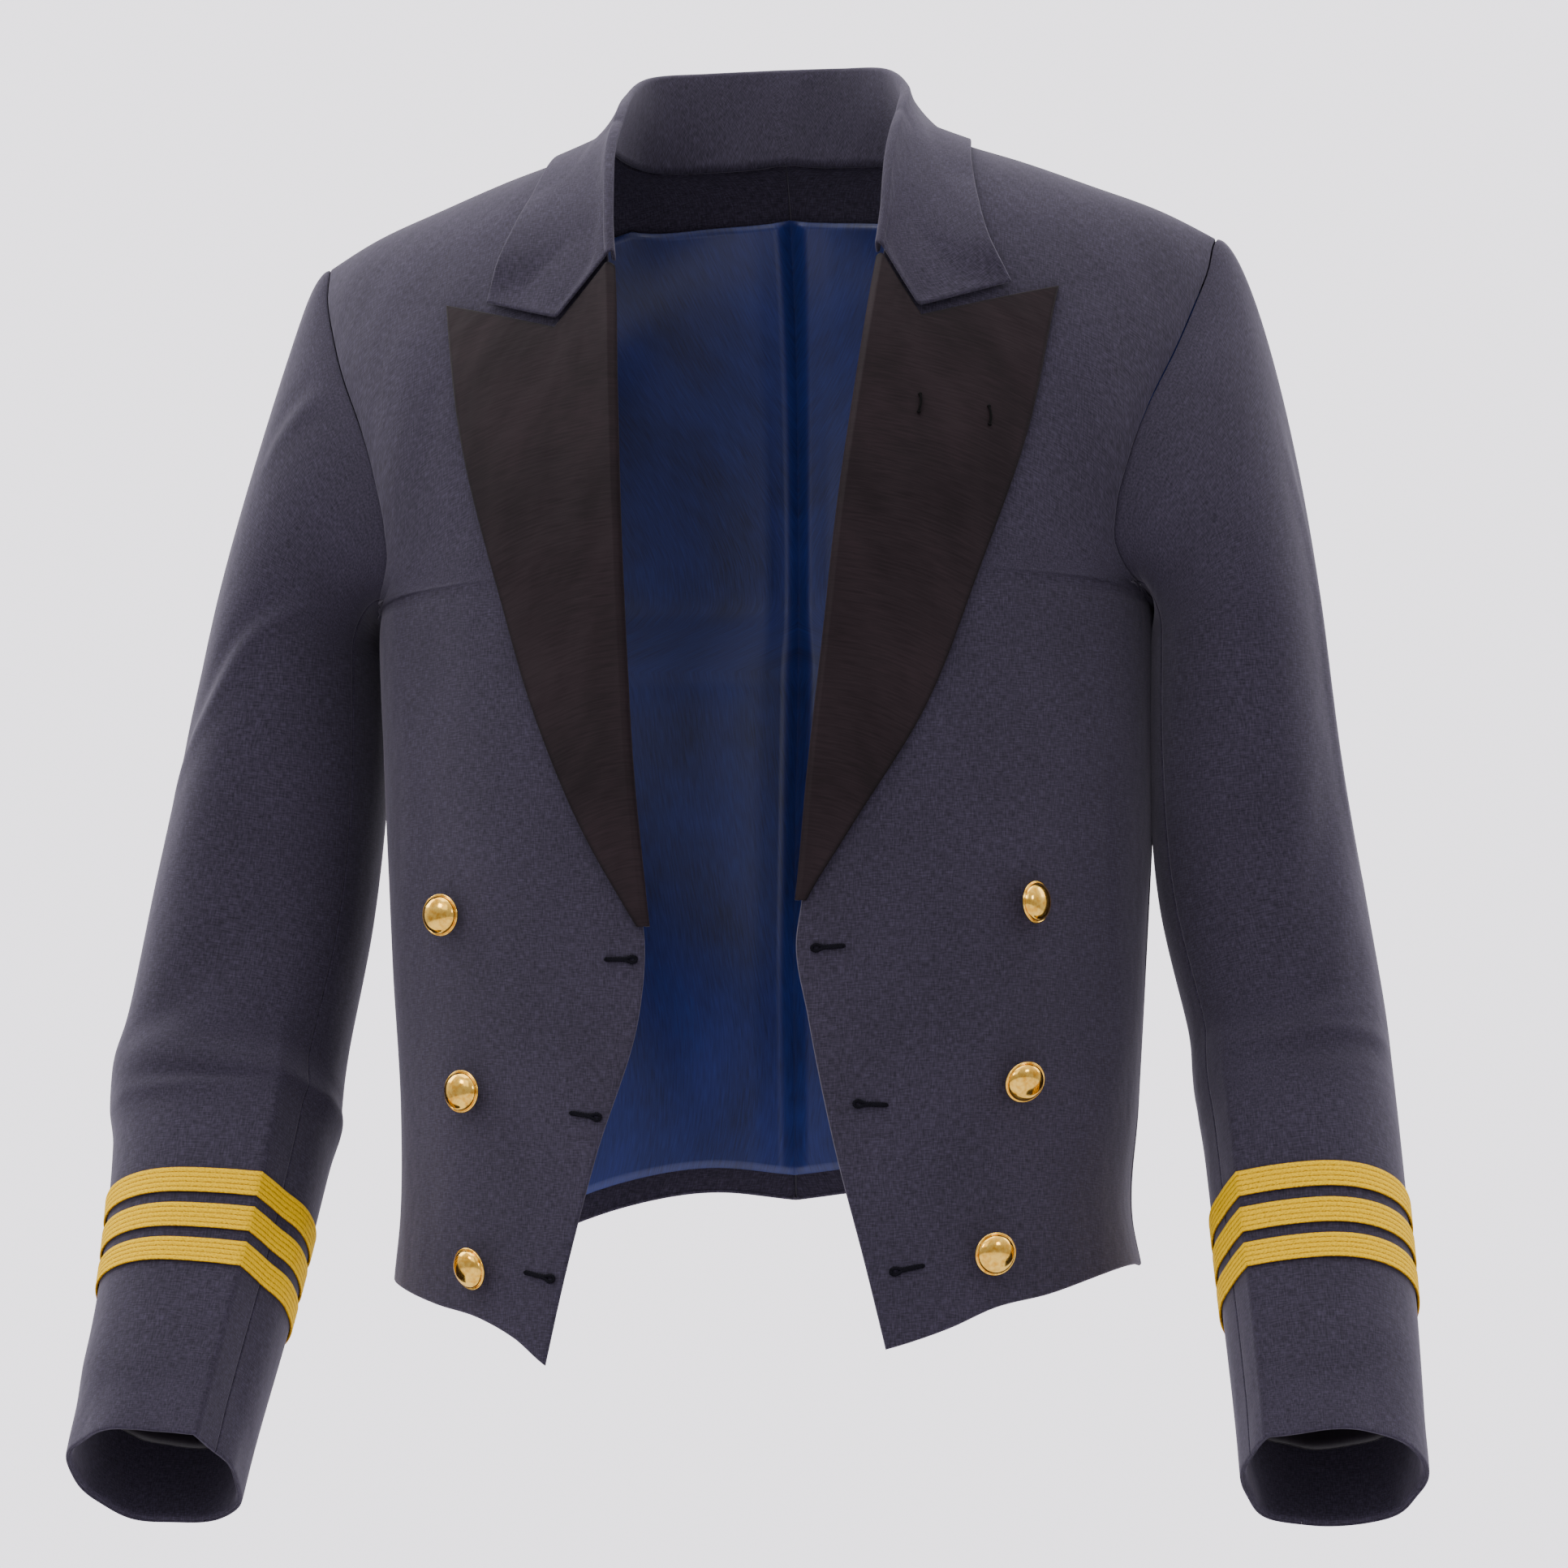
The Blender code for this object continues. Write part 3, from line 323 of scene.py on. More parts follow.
def normals_of(grid: np.ndarray) -> np.ndarray:
    """Unit normals of a grid, the cross product of its column and row differences."""
    return unit(np.cross(np.gradient(grid, axis=1), np.gradient(grid, axis=0)))


def moved_out(grid: np.ndarray, distance: Any) -> np.ndarray:
    """The grid moved along its normals by a number or an array of heights."""
    return grid + normals_of(grid) * (distance * np.ones(grid.shape[:2]))[..., None]


def near_edges(count: int, rim: float) -> np.ndarray:
    """Shares from 0 to 1, evenly spaced inside and close together within a rim at both ends."""
    close = np.array([0.0, 0.18, 0.40, 0.68, 1.0]) * rim
    inner = np.linspace(close[-1], 1 - close[-1], count)[1:-1]
    return np.concatenate([close, inner, 1 - close[::-1]])


def lengths_along(grid: np.ndarray, axis: int) -> np.ndarray:
    """Length of cloth from the first row or column to each point."""
    steps = np.linalg.norm(np.diff(grid, axis=axis), axis=-1)
    first = np.zeros_like(np.take(steps, [0], axis=axis))
    return np.cumsum(np.concatenate([first, steps], axis=axis), axis=axis)


def rolled(distance: np.ndarray, radius: float) -> np.ndarray:
    """Drop of a turned edge at a distance from it: a quarter circle of that radius."""
    if radius == 0:
        return np.zeros_like(distance)
    inside = np.clip(1 - distance / radius, 0, 1)
    return -0.8 * radius * (1 - np.sqrt(np.clip(1 - inside**2, 0, 1)))


def eased(grid: np.ndarray, row: int) -> np.ndarray:
    """Evens out a grid's rows near one row, along the normals.

    Args:
        grid: grid of points.
        row: row to even out round, such as the chest line where two forms meet.

    Returns:
        The grid, unchanged at the seam on its last column.
    """
    moved = grid.copy()
    near = np.exp(-(((np.arange(1, len(grid) - 1) - row) / EASE_ROWS) ** 2))[:, None]
    across = lengths_along(grid, 1)
    off_seam = smooth_step((across[:, -1:] - across) / EASE_SEAM)[1:-1]
    share = (near * off_seam)[..., None] / 2
    for _ in range(EASE_ROUNDS):
        middle = (moved[:-2] + moved[2:]) / 2
        moved[1:-1] += (middle - moved[1:-1]) * share
    out = normals_of(grid)
    return grid + out * ((moved - grid) * out).sum(-1, keepdims=True)


@dataclass(frozen=True)
class Edges:
    """Radius of the roll at each border of a sheet, in metres: rows run first to last."""

    first_row: float = 0.0
    last_row: float = 0.0
    first_column: float = 0.0
    last_column: float = 0.0

    def drops(self, grid: np.ndarray) -> np.ndarray:
        """Deepest of the rolls at the four borders of a grid."""
        down = lengths_along(grid, 0)
        across = lengths_along(grid, 1)
        rows = np.minimum(rolled(down, self.first_row), rolled(down[-1:] - down, self.last_row))
        last = rolled(across[:, -1:] - across, self.last_column)
        return np.minimum(rows, np.minimum(rolled(across, self.first_column), last))


@dataclass(frozen=True)
class Crease:
    """Soft ridge (depth above 0) or trough (below 0) between two places of a sheet.

    Its height is depth times a bell across the line, less a wider bell beside it, and fades
    towards both ends.
    """

    start: tuple[float, float]
    end: tuple[float, float]
    width: float
    depth: float
    beside: float = 0.0

    def height(self, u: np.ndarray, v: np.ndarray) -> np.ndarray:
        """Height at each place (u, v), in the units of the places."""
        du, dv = self.end[0] - self.start[0], self.end[1] - self.start[1]
        length = math.hypot(du, dv)
        t = ((u - self.start[0]) * du + (v - self.start[1]) * dv) / length**2
        away = ((u - self.start[0]) * dv - (v - self.start[1]) * du) / length
        fade = np.clip(1 - (2 * np.clip(t, -0.2, 1.2) - 1) ** 2 / 1.4, 0, 1)
        bell = np.exp(-((away / self.width) ** 2))
        second = np.exp(-(((away - 1.8 * self.width) / (1.4 * self.width)) ** 2))
        return self.depth * fade * (bell - self.beside * second)


# Torso form


@dataclass(frozen=True)
class Torso:
    """Torso form: rounded sections below the chest, and levels up to the shoulder ridge."""

    chest_z: float = -0.250
    shoulder_tip: float = 0.2305
    neck_point: float = 0.083
    ring_power: float = 2.4
    front_power: float = 1.85
    back_power: float = 2.7
    nape_level: float = 0.915
    first_share: float = 0.3
    rounds: int = 8
    shoulder_u: float = 0.52
    neck_ease: float = 0.045
    neck_ease_from: float = 0.15

    def half_width(self, side: Side) -> Curve:
        """Half width of a side by height, below the chest."""
        return column(SECTIONS, "z", side.value)

    def ring_depth(self, share: np.ndarray) -> np.ndarray:
        """Depth share of a section: (1 - share^power)^(1/power)."""
        return np.clip(1 - np.abs(share) ** self.ring_power, 0, 1) ** (1 / self.ring_power)

    def level_depth(self, w: np.ndarray, face: Face) -> np.ndarray:
        """Depth share of an upper level: (1 - w^power)^(1/power)."""
        power = self.front_power if face is Face.FRONT else self.back_power
        return np.clip(1 - np.clip(w, 0, 1) ** power, 0, 1) ** (1 / power)

    def lower(self, side: Side, share: np.ndarray, z: np.ndarray, face: Face) -> np.ndarray:
        """Points below the chest, x outwards."""
        x = share * self.half_width(side)(z)
        y = self.ring_depth(share) * column(SECTIONS, "z", face.value)(z)
        return np.stack([x, -y if face is Face.FRONT else y, z + 0 * x], -1)

    def upper(self, share: np.ndarray, w: np.ndarray, face: Face) -> np.ndarray:
        """Points between the chest and the shoulder ridge, x outwards."""
        x = share * column(LEVELS, "w", "half_width")(w)
        deep = column(SECTIONS, "z", face.value)(self.chest_z)
        y = self.ring_depth(share) * self.level_depth(w, face) * deep
        top = column(RIDGE, "x", "z")(share * self.shoulder_tip)
        z = self.chest_z + (top - self.chest_z) * w
        return np.stack([x, -y if face is Face.FRONT else y, z], -1)

    def share_and_level(self, x: np.ndarray, z: np.ndarray) -> tuple[np.ndarray, np.ndarray]:
        """Share of the half width and level w of the upper torso seen at x and z."""
        half, top_at = column(LEVELS, "w", "half_width"), column(RIDGE, "x", "z")
        share = np.clip(x / self.shoulder_tip, 0, 1)
        for _ in range(6):
            top = top_at(share * self.shoulder_tip)
            w = np.clip((z - self.chest_z) / (top - self.chest_z), 0, 1)
            share = np.clip(x / half(w), 0, 1)
        return share, w

    def at(self, side: Side, x: Any, z: Any) -> np.ndarray:
        """The front's point seen at x outwards and height z."""
        x, z = np.broadcast_arrays(np.asarray(x, float), np.asarray(z, float))
        upper = self.upper(*self.share_and_level(x, z), Face.FRONT)
        share = np.clip(x / self.half_width(side)(z), 0, 1)
        lower = self.lower(side, share, z, Face.FRONT)
        return np.where((z > self.chest_z)[..., None], upper, lower)

    def shares(self, inner: np.ndarray, outer: np.ndarray, columns: np.ndarray) -> np.ndarray:
        """Shares from an inner to an outer border, evenly spaced by angle round the section."""
        turn = self.ring_power / 2
        start = np.arcsin(np.clip(inner, 0, 1) ** turn)[..., None]
        end = np.arcsin(np.clip(outer, 0, 1) ** turn)[..., None]
        return np.sin(start + (end - start) * columns) ** (1 / turn)

    def front(self, side: Side, columns: np.ndarray, low: np.ndarray, high: np.ndarray) -> np.ndarray:
        """One fore part, hem first, from its front edge to the side and armhole.

        Args:
            side: side of the wearer.
            columns: shares from the front edge (0) to the side or armhole (1).
            low: rows below the chest, from the hem (1) to the chest (0).
            high: rows above the chest, as levels w.

        Returns:
            The grid of points, x outwards.
        """
        edge, hem = column(FRONT_EDGE, "z", side.value), column(FRONT_HEM, "share", side.value)
        inner = np.full(low.shape, self.first_share)
        for _ in range(self.rounds):
            z = self.chest_z + (hem(inner) - self.chest_z) * low
            inner = edge(z) / self.half_width(side)(z)
        share = self.shares(inner, np.ones_like(inner), columns)
        z = self.chest_z + (hem(share) - self.chest_z) * low[:, None]
        lower = self.lower(side, share, z, Face.FRONT)
        inner = np.full(high.shape, self.first_share)
        for _ in range(self.rounds):
            top = column(RIDGE, "x", "z")(inner * self.shoulder_tip)
            z = self.chest_z + (top - self.chest_z) * high
            inner = edge(z) / column(LEVELS, "w", "half_width")(high)
        share = self.shares(inner, column(LEVELS, "w", "armhole_front")(high), columns)
        upper = self.upper(share, high[:, None], Face.FRONT)
        return eased(np.concatenate([lower, upper]), len(low) - 1)

    def back(self, side: Side, columns: np.ndarray, low: np.ndarray, high: np.ndarray) -> np.ndarray:
        """One back half, hem first, from the side and armhole to the centre seam."""
        hem = column(BACK_HEM, "share", side.value)
        share = self.shares(np.zeros_like(low), np.ones_like(low), columns)
        z = self.chest_z + (hem(share) - self.chest_z) * low[:, None]
        lower = self.lower(side, share, z, Face.BACK)
        armhole = column(LEVELS, "w", "armhole_back")(high)
        share = self.shares(np.zeros_like(high), armhole, columns)
        upper = self.upper(share, high[:, None] * self.back_neck_level(share), Face.BACK)
        return eased(np.concatenate([lower, upper]), len(low) - 1)[:, ::-1]

    def back_neck_level(self, share: np.ndarray) -> np.ndarray:
        """Level of the neck edge across the back: lowest at the nape, 1 at the shoulder seam."""
        neck = np.clip(share * self.shoulder_tip / self.neck_point, 0, 1)
        return self.nape_level + (1 - self.nape_level) * neck**2.2

    def neckline(self, side: Side, u: np.ndarray) -> list[np.ndarray]:
        """Neck edge from the gorge (0) over the shoulder (shoulder_u) to the nape (1).

        Args:
            side: side of the wearer.
            u: places along the edge.

        Returns:
            Its points, the directions out of the cloth and those off its edge into the neck.
        """
        z = GORGE_Z * (1 - np.clip(u / self.shoulder_u, 0, 1))
        front_share, front_w = self.share_and_level(column(FRONT_EDGE, "z", side.value)(z), z)
        behind_u = np.clip((1 - u) / (1 - self.shoulder_u), 0, 1)
        back_share = self.neck_point / self.shoulder_tip * behind_u
        rows = (
            (front_share, np.minimum(front_w, 0.9995), Face.FRONT),
            (back_share, self.back_neck_level(back_share), Face.BACK),
        )
        found = []
        for share, w, face in rows:
            point = self.upper(share, w, face)
            across = self.upper(share + 0.004, w, face) - point
            down = self.upper(share, w - 0.004, face) - point
            out = unit(np.cross(across, down))
            out = out * np.where(out[:, 2:] < 0, -1, 1)
            into = unit(np.cross(out, np.gradient(point, axis=0)))
            inwards = (into * point * (1, 1, 0)).sum(-1, keepdims=True)
            found.append((point, out, into * np.where(inwards > 0, -1, 1)))
        in_front = (u <= self.shoulder_u)[:, None]
        point, out, into = (np.where(in_front, ahead, behind) for ahead, behind in zip(*found))
        near = np.exp(-(((u[:, None] - u[None]) / self.neck_ease) ** 2))
        mix = smooth_step((u - self.neck_ease_from) / self.neck_ease_from)[:, None]
        out, into = (unit(way * (1 - mix) + unit(near @ way) * mix) for way in (out, into))
        point = point * (1 - mix) + near @ point / near.sum(1, keepdims=True) * mix
        return [point, out, into]

    def outside(self, points: np.ndarray, lift: np.ndarray) -> np.ndarray:
        """Points pushed away from the middle of the chest until they clear the torso by a lift."""
        x, y, z = points[..., 0], points[..., 1], points[..., 2]
        share = np.clip(x / self.shoulder_tip, 0, 0.98)
        reach = column(RIDGE, "x", "z")(share * self.shoulder_tip) - self.chest_z
        front = column(SECTIONS, "z", "front")(self.chest_z)
        back = column(SECTIONS, "z", "back")(self.chest_z)
        depth = np.where(y < 0, front, back)
        power = np.where(y < 0, self.front_power, self.back_power)
        across = np.abs(y) / (depth * self.ring_depth(share))
        up = np.clip((z - self.chest_z) / reach, 0, None)
        level = (across**power + up**power) ** (1 / power)
        stretch = np.maximum(1, (1 + lift / np.hypot(y, z - self.chest_z)) / level)
        return np.stack([x, y * stretch, self.chest_z + (z - self.chest_z) * stretch], -1)


TORSO = Torso()


# Sleeve form


@dataclass(frozen=True)
class Arm:
    """Sleeve form of one side: a head from the armhole, then a tube of rounded sections.

    Places along it run from the armhole (0) by the upper arm (cap_share) to the cuff (1). Angles
    run from outwards (0) by the front (90 degrees) and the body to the back.
    """

    side: Side
    cap_share: float = 0.30
    power: float = 2.25
    press_height: float = 0.11
    press_spread: float = 0.30
    armhole_offset: float = 0.15 * MM
    mean_radius: float = 0.052
    cut_length: float = 0.70

    def track(self, key: str) -> Curve:
        """Column of the sleeve's table by t, from the upper arm (0) to the cuff (1)."""
        return through(np.linspace(0, 1, len(SLEEVE)), [getattr(row, key) for row in SLEEVE])

    def middle(self, t: np.ndarray) -> np.ndarray:
        """Middle line of the tube."""
        return np.stack([self.track(self.side.value)(t), self.track("y")(t), self.track("z")(t)], -1)

    def tube(self, t: np.ndarray, angles: np.ndarray) -> np.ndarray:
        """Sections of the tube: a superellipse square to the middle line, pressed at its edge."""
        axis = unit(self.middle(np.clip(t + 0.02, 0, 1)) - self.middle(np.clip(t - 0.02, 0, 1)))
        turned = smooth_step(t / 0.08)[:, None]
        axis = unit(np.array([0.0, 0.0, -1.0]) * (1 - turned) + axis * turned)
        front = unit(np.cross(axis, [1.0, 0.0, 0.0]))
        front = front * np.where(front[:, 1:2] > 0, -1, 1)
        out = np.cross(front, axis)
        out = out * np.where(out[:, :1] > 0, 1, -1)
        half = self.track(self.side.value + "_half")(t)
        depth = self.track(self.side.value + "_depth")(t)
        c, s, power = np.cos(angles), np.sin(angles), 2 / self.power
        along_out = (np.sign(c) * np.abs(c) ** power)[None] * half[:, None]
        along_front = (np.sign(s) * np.abs(s) ** power)[None] * depth[:, None]
        pressed = self.press_height * np.clip((t - 0.42) / 0.2, 0, 1)
        bend = np.exp(-np.abs(angles - PRESSED_EDGE) / self.press_spread)
        ring = along_out[..., None] * out[:, None] + along_front[..., None] * front[:, None]
        return self.middle(t)[:, None] + ring * (1 + pressed[:, None] * bend[None])[..., None]

    def armhole(self, angles: np.ndarray) -> np.ndarray:
        """The body's armhole by angle, its front and back halves each evenly by length."""
        w = 0.5 - 0.5 * np.cos(np.linspace(0, math.pi, 400))
        halves = []
        for half, (face, levels) in enumerate(((Face.FRONT, w[::-1]), (Face.BACK, w))):
            share = column(LEVELS, "w", "armhole_" + face.value)(levels)
            curve = TORSO.upper(share, levels, face)
            arc = np.concatenate([[0], np.cumsum(np.linalg.norm(np.diff(curve, axis=0), axis=-1))])
            arc = (arc / arc[-1] + half) * math.pi
            halves.append(np.stack([np.interp(angles, arc, curve[:, k]) for k in range(3)], -1))
        ring = np.where((angles <= math.pi)[:, None], halves[0], halves[1])
        return ring + np.array([self.armhole_offset, 0, 0])

    def head(self, s: np.ndarray, angles: np.ndarray) -> np.ndarray:
        """Sleeve head: cubics that leave the armhole outwards and arrive down the upper arm."""
        start, end = self.armhole(angles), self.tube(np.zeros(1), angles)[0]
        down = unit(self.tube(np.array([0.03]), angles)[0] - end)
        length = np.linalg.norm(end - start, axis=-1, keepdims=True)
        under = ((1 - np.cos(angles)) / 2)[:, None]
        leave = start + np.array([1.0, 0.0, 0.12]) * length * (0.075 + 0.16 * under)
        arrive = end - down * length * (0.47 - 0.05 * under)
        s = s[:, None, None]
        near = start * (1 - s) ** 3 + 3 * leave * s * (1 - s) ** 2
        return near + 3 * arrive * s * s * (1 - s) + end * s**3

    def rows(self, along: np.ndarray, angles: np.ndarray) -> np.ndarray:
        """Sleeve grid for places along it and angles round it."""
        turned = angles % (2 * math.pi)
        in_head = along < self.cap_share
        head = self.head(along[in_head] / self.cap_share, turned)
        tube = self.tube((along[~in_head] - self.cap_share) / (1 - self.cap_share), turned)
        return np.concatenate([head, tube])

    def out_of(self, grid: np.ndarray) -> np.ndarray:
        """Normals of a sleeve grid that point away from its middle line."""
        normal = normals_of(grid)
        away = (normal * (grid - grid.mean(axis=1, keepdims=True))).sum(-1).mean()
        return normal if away > 0 else -normal

    def grain(self, along: np.ndarray, angles: np.ndarray) -> np.ndarray:
        """Flat place for rows and columns: angle times a mean radius, and share of the length."""
        across, down = np.meshgrid(angles * self.mean_radius, along * self.cut_length)
        return np.stack([across, down], -1)

    def cuff_place(self, distance: float) -> float:
        """Place along the sleeve at a distance from the cuff's edge."""
        t = np.linspace(1, 0, 400)
        line = self.middle(t)
        arc = np.concatenate([[0], np.cumsum(np.linalg.norm(np.diff(line, axis=0), axis=-1))])
        return self.cap_share + (1 - self.cap_share) * float(np.interp(distance, arc, t))


# Creases

# Fronts: places are distance from the middle and height
FRONT_CREASES = {
    Side.RIGHT: (
        Crease((0.172, -0.120), (0.180, -0.300), 0.016, 2.5 * MM),
        Crease((0.160, -0.230), (0.150, -0.460), 0.020, -2.0 * MM),
        Crease((0.150, -0.475), (0.120, -0.600), 0.018, 0.9 * MM, 0.5),
        Crease((0.178, -0.400), (0.172, -0.560), 0.009, 1.2 * MM, 0.4),
    ),
    Side.LEFT: (
        Crease((0.176, -0.120), (0.184, -0.290), 0.016, 2.5 * MM),
        Crease((0.165, -0.330), (0.158, -0.560), 0.018, -2.5 * MM),
        Crease((0.186, -0.440), (0.150, -0.570), 0.012, 1.6 * MM, 0.5),
        Crease((0.120, -0.420), (0.105, -0.600), 0.020, 0.8 * MM, 0.4),
        Crease((0.1769, -0.300), (0.1762, -0.470), 0.0022, -0.5 * MM),
    ),
}

# Lapels: places are distance from the middle and height
LAPEL_CREASES = {
    Side.RIGHT: (
        Crease((0.130, -0.130), (0.085, -0.250), 0.012, 0.9 * MM, 0.5),
        Crease((0.075, -0.200), (0.060, -0.370), 0.008, 0.7 * MM, 0.6),
        Crease((0.110, -0.250), (0.070, -0.330), 0.010, -0.6 * MM, 0.4),
    ),
    Side.LEFT: (
        Crease((0.140, -0.140), (0.080, -0.230), 0.013, 0.8 * MM, 0.5),
        Crease((0.095, -0.240), (0.050, -0.370), 0.009, 0.8 * MM, 0.6),
        Crease((0.080, -0.150), (0.068, -0.260), 0.008, -0.6 * MM, 0.5),
    ),
}

# Backs: places are distance from the middle and height
BACK_CREASES = {
    Side.RIGHT: (
        Crease((0.172, -0.110), (0.150, -0.300), 0.015, 2.2 * MM, 0.5),
        Crease((0.120, -0.330), (0.060, -0.520), 0.022, 1.6 * MM, 0.4),
        Crease((0.170, -0.400), (0.110, -0.440), 0.011, -1.8 * MM, 0.5),
        Crease((0.060, -0.040), (0.130, -0.120), 0.018, 1.2 * MM, 0.4),
    ),
    Side.LEFT: (
        Crease((0.176, -0.100), (0.158, -0.290), 0.017, 2.0 * MM, 0.4),
        Crease((0.110, -0.350), (0.075, -0.525), 0.020, 1.8 * MM, 0.5),
        Crease((0.172, -0.425), (0.120, -0.405), 0.010, -1.6 * MM, 0.4),
        Crease((0.050, -0.050), (0.120, -0.100), 0.016, 1.4 * MM, 0.5),
    ),
}


class ArmCrease(NamedTuple):
    """Crease of a sleeve: places along it, angles in degrees, width and depth in metres."""

    along0: float
    angle0: float
    along1: float
    angle1: float
    width: float
    depth: float
    beside: float = 0.0


ARM_CREASES = {
    Side.RIGHT: (
        ArmCrease(0.44, 130, 0.66, 25, 0.016, -2.0 * MM),
        ArmCrease(0.62, 10, 0.74, 340, 0.018, 2.6 * MM),
        ArmCrease(0.60, 285, 0.70, 235, 0.012, -3.0 * MM),
        ArmCrease(0.245, 112, 0.40, 28, 0.0055, 1.9 * MM, 0.8),
        ArmCrease(0.05, 62, 0.17, 50, 0.0045, 1.2 * MM, 0.6),
        ArmCrease(0.30, 75, 0.55, 55, 0.020, 1.6 * MM, 0.4),
        ArmCrease(0.655, 40, 0.685, 125, 0.009, -1.8 * MM, 0.6),
        ArmCrease(0.90, 20, 0.93, 100, 0.012, 0.9 * MM, 0.5),
        ArmCrease(0.35, 250, 0.55, 300, 0.014, 2.0 * MM, 0.5),
        ArmCrease(0.20, 300, 0.42, 330, 0.014, 1.8 * MM, 0.5),
    ),
    Side.LEFT: (
        ArmCrease(0.40, 35, 0.62, 100, 0.014, -2.5 * MM),
        ArmCrease(0.60, 290, 0.70, 240, 0.012, -3.0 * MM),
        ArmCrease(0.20, 22, 0.46, 14, 0.0050, 2.2 * MM, 0.8),
        ArmCrease(0.115, 174, 0.62, 184, 0.036, 5.0 * MM),
        ArmCrease(0.30, 66, 0.58, 84, 0.022, 1.5 * MM, 0.4),
        ArmCrease(0.615, 20, 0.640, 115, 0.010, 1.6 * MM, 0.7),
        ArmCrease(0.545, 30, 0.585, 90, 0.009, -1.5 * MM, 0.5),
        ArmCrease(0.88, 30, 0.92, 105, 0.012, 0.8 * MM, 0.5),
        ArmCrease(0.33, 245, 0.52, 290, 0.014, 2.2 * MM, 0.5),
        ArmCrease(0.22, 310, 0.40, 335, 0.013, 1.6 * MM, 0.5),
    ),
}


def arm_heights(side: Side, along: np.ndarray, angles: np.ndarray) -> np.ndarray:
    """Heights of a sleeve's creases: places become lengths on a tube 0.66 m long, 55 mm round.

    Args:
        side: side of the wearer.
        along: places along the sleeve.
        angles: angles round it.

    Returns:
        A height for each row and column.
    """
    length, girth = 0.66, 0.055
    height = np.zeros((len(along), len(angles)))
    for crease in ARM_CREASES[side]:
        middle = math.radians((crease.angle0 + crease.angle1) / 2)
        half = math.radians(crease.angle1 - crease.angle0) / 2
        turned = (angles - middle + math.pi) % (2 * math.pi) - math.pi
        flat = Crease(
            (crease.along0 * length, -half * girth),
            (crease.along1 * length, half * girth),
            crease.width,
            crease.depth,
            crease.beside,
        )
        height += flat.height(along[:, None] * length, turned[None] * girth)
    off_edge = (angles - PRESSED_EDGE + math.pi) % (2 * math.pi) - math.pi
    pressed = PRESSED_HEIGHT[side] * smooth_step((along - 0.50) / 0.12)[:, None]
    ridge = np.exp(-np.abs(off_edge) / 0.10)
    before = 0.5 * np.exp(-(((off_edge + 0.45) / 0.22) ** 2))
    after = 1.5 * np.exp(-(((off_edge - 0.42) / 0.26) ** 2))
    height = height + pressed * (ridge - (before + after))[None]
    wave = np.sin(5 * angles + 0.8) + 0.6 * np.sin(8 * angles + 2.0 * side.sign)
    return height + CUFF_WAVE * wave[None] * smooth_step((along - 0.93) / 0.07)[:, None]


def body_heights(creases: Sequence[Crease], grid: np.ndarray) -> np.ndarray:
    """Heights of creases whose places are distance from the middle and height."""
    return sum((c.height(grid[..., 0], grid[..., 2]) for c in creases), np.zeros(grid.shape[:2]))


# Materials


def linear(code: str) -> tuple[float, float, float, float]:
    """Linear colour of an sRGB hex code such as "#45434f"."""
    parts = [int(code[i : i + 2], 16) / 255 for i in (1, 3, 5)]
    red, green, blue = ((c / 12.92) if c <= 0.04045 else ((c + 0.055) / 1.055) ** 2.4 for c in parts)
    return (red, green, blue, 1.0)


def set_inputs(tree: bpy.types.NodeTree, node: Any, values: dict[Any, Any]) -> None:
    """Sets a node's inputs, by name or number, to values, or links them to output sockets."""
    for key, value in values.items():
        if isinstance(value, bpy.types.NodeSocket):
            tree.links.new(value, node.inputs[key])
        else:
            node.inputs[key].default_value = value


def add_node(
    tree: bpy.types.NodeTree, kind: str, inputs: dict[Any, Any] | None = None, **settings: Any
) -> Any:
    """New node with its settings, and its inputs set to values or linked to sockets.

    Args:
        tree: node tree.
        kind: node type.
        inputs: values or output sockets by input name or number.
        settings: node properties.

    Returns:
        The node.
    """
    node = tree.nodes.new(kind)
    for key, value in settings.items():
        setattr(node, key, value)
    set_inputs(tree, node, inputs or {})
    return node


def new_material(name: str) -> tuple[bpy.types.Material, Any, Any]:
    """Empty node material, its tree and its surface shader."""
    made = bpy.data.materials.new(name)
    made.use_nodes = True
    return made, made.node_tree, made.node_tree.nodes["Principled BSDF"]


def toned(tree: bpy.types.NodeTree, tone: Any, *stops: tuple[float, str]) -> Any:
    """Colour over a tone, from stops that are each a place and a hex colour."""
    node = add_node(tree, "ShaderNodeValToRGB", {"Fac": tone})
    elements = node.color_ramp.elements
    while len(elements) < len(stops):
        elements.new(0.5)
    for element, (place, code) in zip(elements, stops):
        element.position = place
        element.color = linear(code)
    return node.outputs[0]


def added(tree: Any, first: Any, second: Any, operation: str = "ADD") -> Any:
    """Result of a sum, or of another operation, of two sockets or numbers."""
    return add_node(tree, "ShaderNodeMath", {0: first, 1: second}, operation=operation).outputs[0]


def grain_place(tree: Any) -> Any:
    """Place on the flat cloth, in metres."""
    return add_node(tree, "ShaderNodeUVMap", uv_map="grain").outputs[0]


def streaks(tree: Any, uv: Any, across_mm: float, along_mm: float, detail: float = 2.0) -> Any:
    """Noise drawn out along one way of the cloth, from its real thread width and length."""
    size = (1 / (across_mm * MM), 1 / (along_mm * MM), 1.0)
    placed = add_node(tree, "ShaderNodeMapping", {"Vector": uv, "Scale": size}).outputs[0]
    return noise(tree, placed, 1.0, detail)


def noise(tree: Any, place: Any, scale: float, detail: float = 2.0) -> Any:
    """Even noise over a place."""
    inputs = {"Vector": place, "Scale": scale, "Detail": detail}
    return add_node(tree, "ShaderNodeTexNoise", inputs).outputs["Fac"]


def own_place(tree: Any) -> Any:
    """Place in the piece's own metres."""
    return add_node(tree, "ShaderNodeTexCoord").outputs["Object"]


